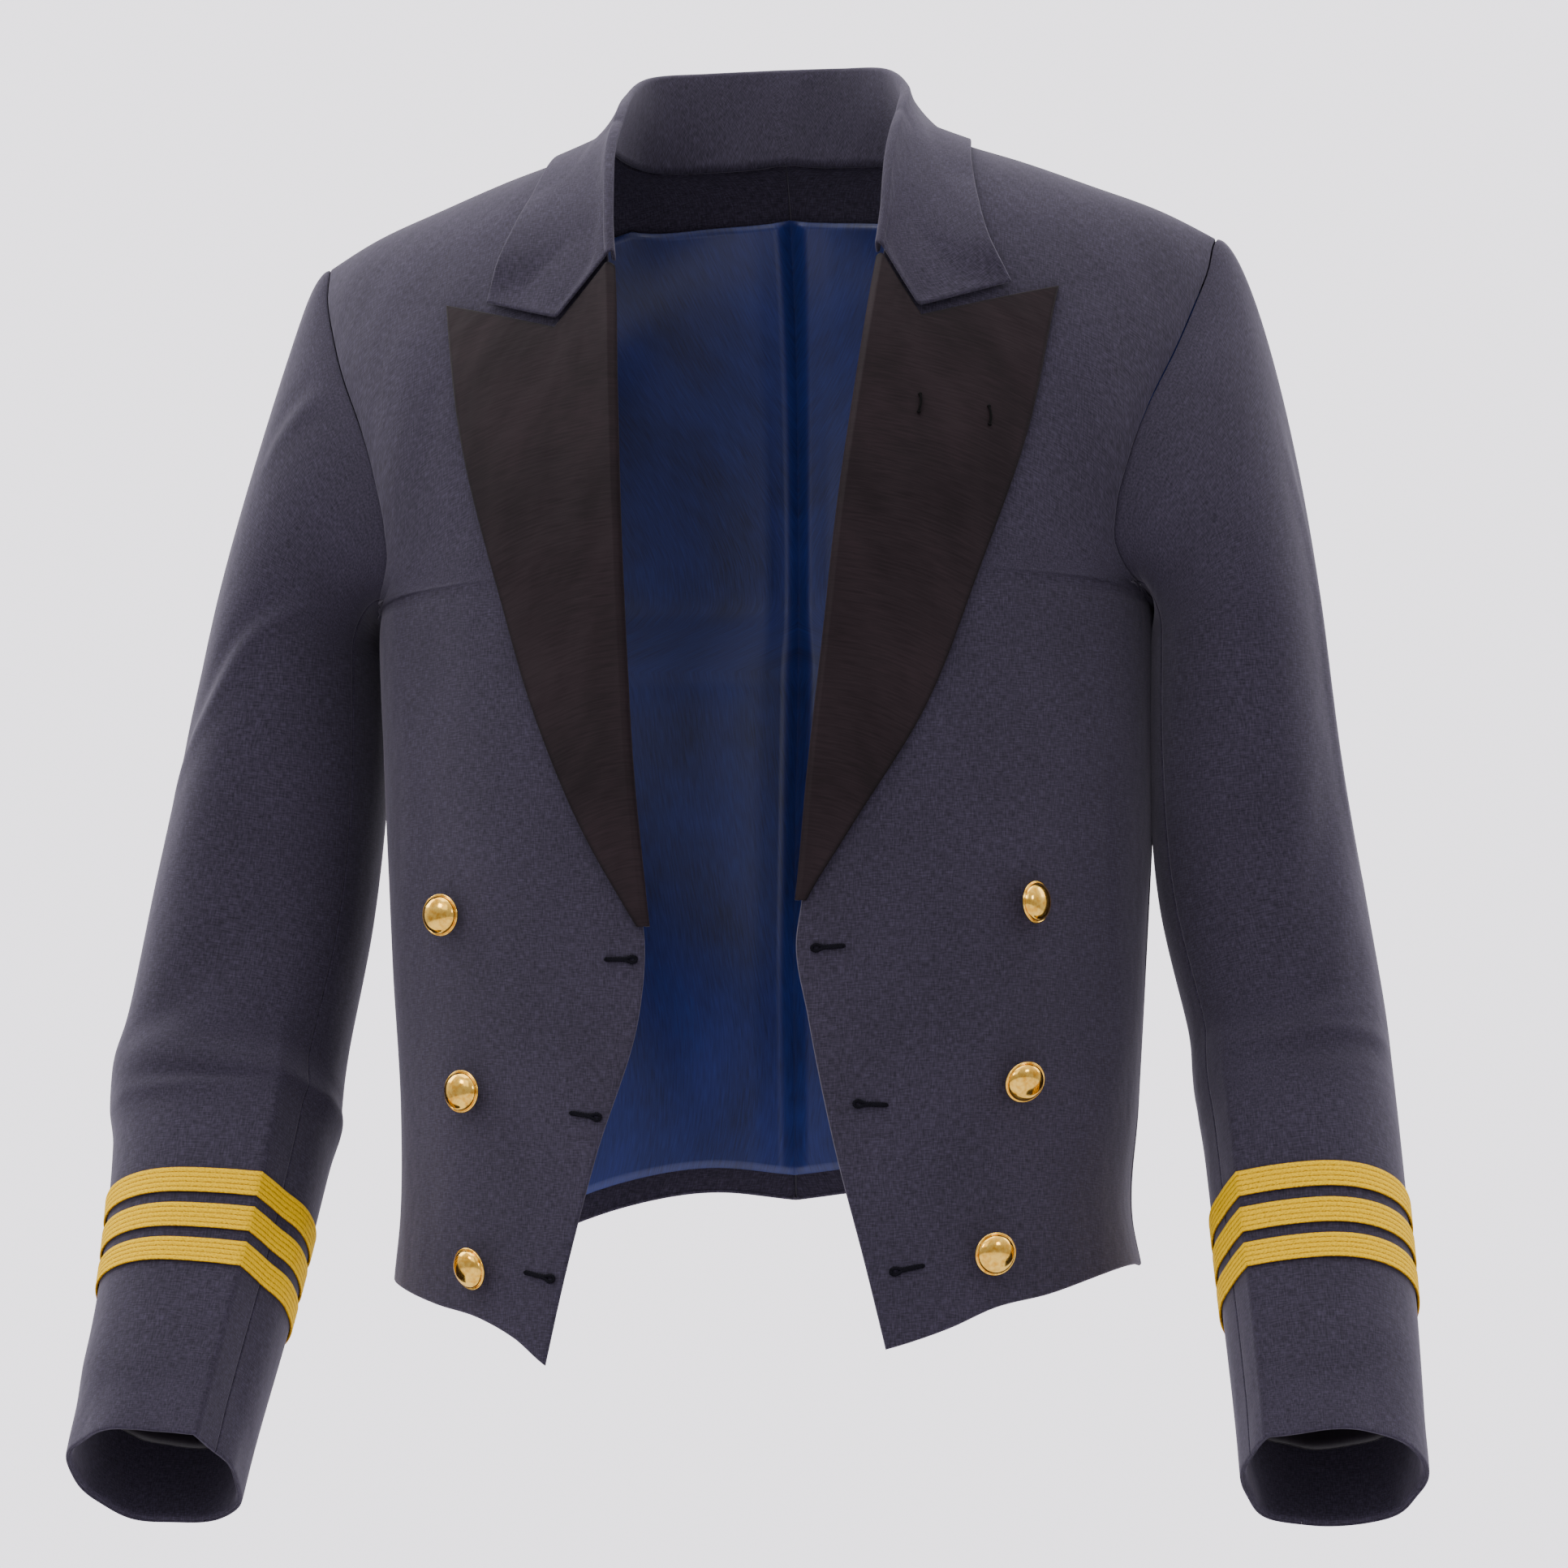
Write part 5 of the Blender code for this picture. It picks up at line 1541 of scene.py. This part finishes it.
@dataclass
class Braid:
    """Three rings of flat braid round each cuff."""

    finishes: Finishes
    width: float = 13.5 * MM
    pitch: float = 19.5 * MM
    from_cuff: dict[Side, float] = field(
        default_factory=lambda: {Side.RIGHT: 94.0 * MM, Side.LEFT: 92.0 * MM}
    )
    cords: int = 5
    cord_height: float = 0.32 * MM
    across: int = 31
    around: int = 150

    def build(self) -> None:
        """Makes the rings: sleeve rows moved out, with cords as rounded ridges along them."""
        v = np.linspace(0, 1, self.across)
        ridge = np.abs(np.sin(math.pi * self.cords * v))
        for side in Side:
            arm = Arm(side)
            angles = np.linspace(0, 2 * math.pi, self.around, endpoint=False)
            angles[np.argmin(np.abs(angles - PRESSED_EDGE))] = PRESSED_EDGE
            for number in (1, 2, 3):
                low = self.from_cuff[side] + (3 - number) * self.pitch
                places = np.array([arm.cuff_place(low + self.width * (1 - x)) for x in v])
                bare = arm.rows(places, angles)
                out = unit(bare - bare.mean(axis=1, keepdims=True))
                height = BRAID + 2 * SEAM_GAP + arm_heights(side, places, angles)
                height = height + self.cord_height * (ridge - 0.6)[:, None]
                grid = bare + out * height[..., None]
                name = f"braid_ring_{side.value}_{number}"
                piece = cloth_piece(name, grid, BRAID, self.finishes.braid, side, closed=True)
                # Valley mark for the braid's painted shade between the cords.
                mark(piece, "valley", np.repeat(1 - np.clip(ridge * 1.6, 0, 1), self.around))
                nodes, under = [f"cuff_braid_{side.value}_{number}"], [f"top_sleeve_{side.value}"]
                declare(piece, Cut.of(bare, True), nodes)


# Linings


@dataclass
class Linings:
    """Satin linings of the body and the sleeves, a few millimetres inside the cloth."""

    finishes: Finishes
    inside: float = CLOTH + 1.45 * MM
    sleeve_inside: float = CLOTH + 2.8 * MM
    turn_up: float = 40.0 * MM
    side_ease: float = 1.5 * MM
    back_ease: float = 0.6 * MM
    pleat: float = 2.2 * MM
    ripple: float = 2.6 * MM
    hem_rise: float = 0.6 * MM
    turn_up_wall: float = 1.2 * MM

    def panel(self, side: Side, name: str, bare: np.ndarray, creases: Sequence[Crease], ease: Any) -> None:
        """One lining of the body, inside its creased cloth by its own depth and an ease.

        Args:
            side: side of the wearer.
            name: front or back.
            bare: the cloth's form.
            creases: the cloth's creases.
            ease: how much deeper the lining lies, for each point.
        """
        cover = moved_out(bare, body_heights(creases, bare))
        grid = moved_out(cover, -self.inside - ease)
        piece = cloth_piece(f"{name}_lining_{side.value}", grid, LINING, self.finishes.lining, side)
        declare(piece, Cut.of(bare), [f"lining_{name}_{side.value}"])

    def fronts(self) -> None:
        """Front linings, from the facing to the side seam."""
        for side in Side:
            bare = TORSO.front(side, np.linspace(0.09, 0.955, 48), *self.rows())
            ease = self.side_ease * smooth_step((lengths_along(bare, 1) - 0.10) / 0.08)
            self.panel(side, "front", bare, FRONT_CREASES[side], ease)

    def backs(self) -> None:
        """Back linings, each with half of the centre pleat."""
        for side in Side:
            bare = TORSO.back(side, np.linspace(0.0, 0.955, 56), *self.rows())
            x = bare[..., 0]
            pleat = self.pleat * np.exp(-(((x - 0.004) / 0.006) ** 2))
            ease = self.back_ease * smooth_step((x - 0.15) / 0.04)
            self.panel(side, "back", bare, BACK_CREASES[side], pleat + ease)

    def rows(self) -> tuple[np.ndarray, np.ndarray]:
        """Rows below and above the chest, short of the hem and of the shoulder."""
        return np.linspace(0.955, 0.0, 60)[:-2], np.linspace(0.0, 0.90, 60)[4:]

    def sleeves(self) -> None:
        """Sleeve linings, whose hem laps over the turned-up cuff, and the turn-up itself."""
        for side in Side:
            arm = Arm(side)
            angles = np.linspace(0, 2 * math.pi, 73)
            along = np.linspace(0.10, arm.cuff_place(self.turn_up), 90)
            bare = arm.rows(along, angles)
            heights = arm_heights(side, along, angles)
            near_hem = smooth_step((along - along[-1] + 0.05) / 0.05)[:, None]
            round_it = 0.5 + 0.3 * np.sin(9 * angles + 1.3) + 0.2 * np.sin(5 * angles)
            ripple = round_it[None] * smooth_step((along - 0.55) / 0.25)[:, None]
            depth = self.sleeve_inside - heights + self.ripple * ripple - self.hem_rise * near_hem
            grid = (bare - arm.out_of(bare) * depth[..., None])[:, :-1]
            finish = self.finishes.sleeve_lining
            flat = arm.grain(along, angles)
            name = f"sleeve_lining_{side.value}"
            piece = cloth_piece(name, grid, LINING, finish, side, closed=True, flat=flat)
            nodes, under = [f"lining_sleeve_{side.value}"], [f"top_sleeve_{side.value}"]
            declare(piece, Cut.of(bare[:, :-1], True), nodes)
            places = np.linspace(self.turn_up + 3 * MM, 1.2 * MM, 24)
            along = np.array([arm.cuff_place(float(place)) for place in places])
            bare = arm.rows(along, angles)
            depth = CLOTH + 0.1 * MM - arm_heights(side, along, angles)
            depth = depth + rolled(places - places[-1], self.turn_up_wall)[:, None]
            grid = (bare - arm.out_of(bare) * depth[..., None])[:, :-1]
            name = f"cuff_turn_up_{side.value}"
            flat = arm.grain(along, angles)
            wall, finish = self.turn_up_wall, self.finishes.cloth
            piece = cloth_piece(name, grid, wall, finish, side, closed=True, flat=flat)
            declare(piece, Cut.of(bare[:, :-1], True), [])

    def build(self) -> None:
        """Makes all linings."""
        self.fronts()
        self.backs()
        self.sleeves()


# Buttons, buttonholes and thread


class ButtonPlace(NamedTuple):
    """Place of a button on its front, and how it is turned and nodded, in degrees."""

    side: Side
    number: int
    x: float
    z: float
    turn: float
    nod: float


BUTTONS = (
    ButtonPlace(Side.RIGHT, 1, 0.1435, -0.4105, -12, 4),
    ButtonPlace(Side.RIGHT, 2, 0.1295, -0.4970, -6, 6),
    ButtonPlace(Side.RIGHT, 3, 0.1215, -0.5810, 8, 20),
    ButtonPlace(Side.LEFT, 1, 0.1380, -0.4095, 26, 0),
    ButtonPlace(Side.LEFT, 2, 0.1345, -0.4930, 0, 25),
    ButtonPlace(Side.LEFT, 3, 0.1215, -0.5755, 0, 20),
)


def front_frame(side: Side, x: float, z: float) -> tuple[np.ndarray, np.ndarray, np.ndarray, np.ndarray]:
    """Point of a front, its outward normal, and the ways across (from the middle) and up."""
    steps = np.array([-2, 0, 2]) * MM
    patch = TORSO.at(side, x + steps[:, None], z + steps[None])
    across, up = unit(patch[2, 1] - patch[0, 1]), unit(patch[1, 2] - patch[1, 0])
    mirror = np.array([side.sign, 1, 1])
    return patch[1, 1] * mirror, unit(np.cross(across, up)) * mirror, across * mirror, up * mirror


def turned(vector: np.ndarray, axis: np.ndarray, angle: float) -> np.ndarray:
    """A vector turned about an axis: v cos a + (k x v) sin a + k (k.v) (1 - cos a)."""
    c, s = math.cos(angle), math.sin(angle)
    return vector * c + np.cross(axis, vector) * s + axis * (axis @ vector) * (1 - c)


@dataclass
class Buttons:
    """Domed gilt buttons with a rolled rim, a wire shank and its thread."""

    finishes: Finishes
    radius: float = 10.3 * MM
    rim: float = 1.4 * MM
    dome: float = 4.6 * MM
    shank_length: float = 5.6 * MM
    shank_radius: float = 2.3 * MM
    wire_radius: float = 0.55 * MM

    def profile(self) -> np.ndarray:
        """Half section: dome, groove, rolled rim and slightly hollow back."""
        angle = np.linspace(0, math.pi / 2, 22)
        r_dome = 0.90 * self.radius * np.sin(angle)
        h_dome = self.rim + self.dome * np.cos(angle)
        roll = np.linspace(0.75 * math.pi, -0.75 * math.pi, 14)
        r_rim = 0.945 * self.radius + 0.055 * self.radius * np.cos(roll)
        h_rim = self.rim * 0.62 + 0.6 * MM * np.sin(roll)
        back = np.linspace(0.88, 0.0, 8)
        r_back = back * self.radius
        h_back = 0.25 * MM * (1 - back)
        radii, heights = np.concatenate([r_dome, r_rim, r_back]), np.concatenate([h_dome, h_rim, h_back])
        return np.stack([radii, heights], -1)

    def turned_shell(self, profile: np.ndarray, steps: int) -> np.ndarray:
        """Rows of points of a profile carried round its axis."""
        angle = np.linspace(0, 2 * math.pi, steps, endpoint=False)
        r, h = profile[:, :1], profile[:, 1:]
        return np.stack([r * np.cos(angle), r * np.sin(angle), h + 0 * angle], -1)

    def place(self, row: ButtonPlace) -> tuple[np.ndarray, np.ndarray]:
        """Middle of the button's back and its axes as rows of a matrix."""
        seat, out, _, _ = front_frame(row.side, row.x, row.z)
        seat = seat - np.array([0, SEAM_GAP / 2, 0])
        axis = turned(out, np.array([0.0, 0.0, 1.0]), row.side.sign * math.radians(row.turn))
        sideways = unit(np.cross(out, [0.0, 0.0, 1.0]))
        axis = unit(turned(axis, sideways, -math.radians(row.nod)))
        tilt = math.acos(float(np.clip(axis @ out, -1, 1)))
        fold = body_heights(FRONT_CREASES[row.side][:2], np.array([[[row.x, 0.0, row.z]]]))[0, 0]
        height = self.shank_radius * math.sin(tilt) + 1.4 * SEAM_GAP + float(fold)
        first = unit(np.cross([0.0, 0.0, 1.0], axis))
        return seat + out * height + axis * self.shank_length, np.stack([first, np.cross(axis, first), axis])

    def wire(self) -> np.ndarray:
        """The shank's wire: a tube round a half ring below the back."""
        angle = np.linspace(-0.1, math.pi + 0.1, 18)
        loop = np.stack([1.7 * MM * np.cos(angle), 0 * angle, -3.4 * MM * np.sin(angle)], -1)
        across = np.array([0.0, 1.0, 0.0])
        ahead = unit(np.gradient(loop, axis=0))
        return tube_round(loop, np.cross(ahead, across), across, self.wire_radius)

    def stem(self) -> np.ndarray:
        """The thread under the shank: a bound column, wider at both ends."""
        t = np.linspace(0, 1, 8)
        radii = 1.1 * MM + 0.5 * MM * np.abs(2 * t - 1) + 0.25 * MM * np.sin(t * 9)
        heights = -2.6 * MM - t * (self.shank_length - 2.9 * MM)
        return self.turned_shell(np.stack([radii, heights], -1), 14)

    def build(self) -> None:
        """Makes the six buttons, each with its shank and the thread that holds it."""
        parts = (self.turned_shell(self.profile(), 56), self.wire())
        count = parts[0].shape[0] * parts[0].shape[1]
        shell_faces, wire_faces = (grid_faces(*part.shape[:2], True) for part in parts)
        faces = np.concatenate([shell_faces, wire_faces + count])
        for row in BUTTONS:
            centre, axes = self.place(row)
            label = f"{row.side.value}_{row.number}"
            points = np.concatenate([(part @ axes + centre).reshape(-1, 3) for part in parts])
            piece = mesh_piece(f"gilt_button_{label}", points, faces, self.finishes.gilt)
            settle(piece, [f"button_{label}"])
            stem = self.stem() @ axes + centre
            settle(ring_piece(f"button_thread_{label}", stem, self.finishes.hole_thread))


class HolePlace(NamedTuple):
    """Middle of a buttonhole on its front, and the slope of its slit in degrees."""

    side: Side
    number: int
    x: float
    z: float
    slope: float


BUTTONHOLES = (
    HolePlace(Side.RIGHT, 1, 0.0523, -0.4368, 2),
    HolePlace(Side.RIGHT, 2, 0.0688, -0.5108, 10),
    HolePlace(Side.RIGHT, 3, 0.0904, -0.5864, 14),
    HolePlace(Side.LEFT, 1, 0.0470, -0.4323, 4),
    HolePlace(Side.LEFT, 2, 0.0671, -0.5069, -2),
    HolePlace(Side.LEFT, 3, 0.0843, -0.5840, 12),
)


@dataclass
class Buttonholes:
    """Bound keyhole buttonholes: purled thread round a slit, with a round eyelet at its end."""

    finishes: Finishes
    length: float = 15.0 * MM
    eyelet: float = 1.7 * MM
    slit: float = 0.35 * MM
    thread: float = 0.85 * MM
    flatness: float = 0.7

    def outline(self) -> np.ndarray:
        """Keyhole line in the plane: two sides of the slit joined by an eyelet and a tack.

        The half height is the slit's, and swells to the eyelet's circle towards the front edge.
        """
        t = np.linspace(0, 2 * math.pi, 96, endpoint=False)
        x = self.length / 2 * np.cos(t)
        near = np.exp(-(((x + self.length / 2 - self.eyelet) / (1.3 * self.eyelet)) ** 2))
        y = np.sign(np.sin(t)) * (self.slit + (self.eyelet - self.slit) * near) * np.abs(np.sin(t)) ** 0.3
        return np.stack([x, y], -1)

    def build(self) -> None:
        """Makes the six buttonholes, each laid on its front."""
        flat = self.outline()
        knots = 1 + 0.22 * np.sin(np.arange(len(flat)) * 2.4)
        for row in BUTTONHOLES:
            _, out, _, _ = front_frame(row.side, row.x, row.z)
            slope = math.radians(row.slope)
            x = row.x + flat[:, 0] * math.cos(slope) - flat[:, 1] * math.sin(slope)
            z = row.z + flat[:, 0] * math.sin(slope) + flat[:, 1] * math.cos(slope)
            mirror = np.array([row.side.sign, 1, 1])
            path = TORSO.at(row.side, x, z) * mirror + out * 0.25 * MM - np.array([0, SEAM_GAP * 1.25, 0])
            ahead = unit(np.roll(path, -1, 0) - np.roll(path, 1, 0))
            size = (self.thread * knots)[:, None, None]
            tube = tube_round(path, np.cross(ahead, out), out * self.flatness, size)
            name = f"buttonhole_{row.side.value}_{row.number}"
            piece = ring_piece(name, np.concatenate([tube, tube[:1]]), self.finishes.hole_thread)
            settle(piece)


@dataclass
class ThreadBars:
    """Two small upright thread bars on the wearer's left lapel."""

    finishes: Finishes
    places: tuple[tuple[float, float], ...] = ((0.0903, -0.1699), (0.1229, -0.1751))
    length: float = 10.0 * MM

    def build(self) -> None:
        """Makes the bars: a thread that rises from one tack and returns to the other."""
        s = np.linspace(-1, 1, 40)
        for number, (x, z) in enumerate(self.places, 1):
            seat, out, across, up = front_frame(Side.LEFT, x, z)
            lift = 3.2 * MM + 0.9 * MM * (1 - s**4)
            sway = 0.5 * MM * np.sin(2.2 * s + number)
            path = seat + up * (s * self.length / 2)[:, None] + out * lift[:, None] + across * sway[:, None]
            size = 0.60 * MM + 0.45 * MM * np.exp(-(((np.abs(s) - 0.92) / 0.1) ** 2))
            ahead = unit(np.gradient(path, axis=0))
            side = unit(np.cross(ahead, out))
            tube = tube_round(path, side, np.cross(side, ahead), size[:, None, None])
            first, last = (np.repeat(end[None, None], TUBE_COLUMNS, 1) for end in (path[0], path[-1]))
            tube = np.concatenate([first, tube, last])
            settle(ring_piece(f"thread_bar_{number}", tube, self.finishes.bar_thread))


# Studio


@dataclass
class Studio:
    """Camera at the photograph's angle, soft lights, pale floor and surround."""

    azimuth: float = 7.92
    elevation: float = -8.0
    distance: float = 2.3
    focal_px: float = 5621.0
    aim: tuple[float, float, float] = (0.00832, 0.00116, -0.336)
    floor_z: float = -1.25
    surround: str = "#e3dfe6"
    shown_strength: float = 3.25
    lit_strength: float = 1.9

    def camera(self) -> None:
        """Places the camera on a sphere round its aim."""
        data = bpy.data.cameras.new("camera")
        data.sensor_width = SENSOR_MM
        data.lens = self.focal_px / PHOTO_SIZE * SENSOR_MM
        data.clip_end = 50.0
        camera = bpy.data.objects.new("camera", data)
        bpy.context.scene.collection.objects.link(camera)
        turn, rise = math.radians(self.azimuth), math.radians(self.elevation)
        back = np.array([math.sin(turn) * math.cos(rise), -math.cos(turn) * math.cos(rise), math.sin(rise)])
        camera.location = (np.array(self.aim) + back * self.distance).tolist()
        camera.rotation_euler = (math.pi / 2 - rise, 0.0, turn)
        bpy.context.scene.camera = camera

    def light(
        self, name: str, place: Sequence[float], size: float, power: float, glint: bool = False
    ) -> None:
        """Square soft light that looks at the jacket; a glint only shows in reflections."""
        data = bpy.data.lights.new(name, "AREA")
        data.size = size
        data.energy = power
        lamp = bpy.data.objects.new(name, data)
        bpy.context.scene.collection.objects.link(lamp)
        to_light = unit(np.array(place) - np.array(self.aim))
        lamp.location = place
        lamp.visible_diffuse = not glint
        lamp.rotation_euler = (math.acos(float(to_light[2])), 0.0, math.atan2(to_light[0], -to_light[1]))

    def world(self) -> None:
        """Even pale surround to the eye; its light comes mostly from behind and above."""
        world = bpy.data.worlds.new("surround")
        world.use_nodes = True
        tree = world.node_tree
        shown = tree.nodes["Background"]
        set_inputs(tree, shown, {"Color": linear(self.surround), "Strength": self.shown_strength})
        place = add_node(tree, "ShaderNodeTexCoord").outputs["Generated"]
        parts = add_node(tree, "ShaderNodeSeparateXYZ", {"Vector": place})
        high = added(tree, parts.outputs["Z"], 0.28, "MULTIPLY")
        ahead = added(tree, added(tree, parts.outputs["Y"], 0.12, "MULTIPLY"), added(tree, high, 0.5))
        colour = toned(tree, ahead, (0.12, "#5f5e64"), (0.45, "#96949c"), (0.78, "#f6f4f8"))
        lit = add_node(tree, "ShaderNodeBackground", {"Color": colour, "Strength": self.lit_strength})
        seen = add_node(tree, "ShaderNodeLightPath").outputs["Is Camera Ray"]
        shaders = {0: seen, 1: lit.outputs[0], 2: shown.outputs[0]}
        mix = add_node(tree, "ShaderNodeMixShader", shaders)
        tree.links.new(mix.outputs[0], tree.nodes["World Output"].inputs["Surface"])
        bpy.context.scene.world = world

    def build(self) -> None:
        """Makes floor, lights, surround and camera."""
        turn = np.linspace(0, 2 * math.pi, 96, endpoint=False)
        radius = np.array([0.0, 0.8, 1.8, 3.0])[:, None]
        disc = np.stack([radius * np.cos(turn), radius * np.sin(turn), np.full((4, 96), self.floor_z)], -1)
        ring_piece("floor", disc, PaleFloor().material())
        self.light("top_softbox", (-0.5, -0.3, 1.6), 1.8, 23.0)
        self.light("left_softbox", (-2.0, 0.3, 0.8), 1.2, 20.0)
        self.light("right_softbox", (1.9, 0.6, 0.6), 1.2, 12.0)
        self.light("front_softbox", (-0.7, -2.4, 0.8), 1.4, 7.5)
        self.light("glint_left", (-1.3, -1.6, 0.5), 0.5, 9.0, True)
        self.light("glint_right", (1.5, -1.5, 0.1), 0.4, 5.0, True)
        self.world()
        self.camera()


def main() -> None:
    """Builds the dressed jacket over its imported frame."""
    logging.basicConfig(level=logging.INFO, format="%(message)s")
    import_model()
    finishes = Finishes()
    for part in (Body, Lapels, Collar, Sleeves, Braid, Linings, Buttons, Buttonholes, ThreadBars):
        part(finishes).build()
    Studio().build()


if __name__ == "__main__":
    main()
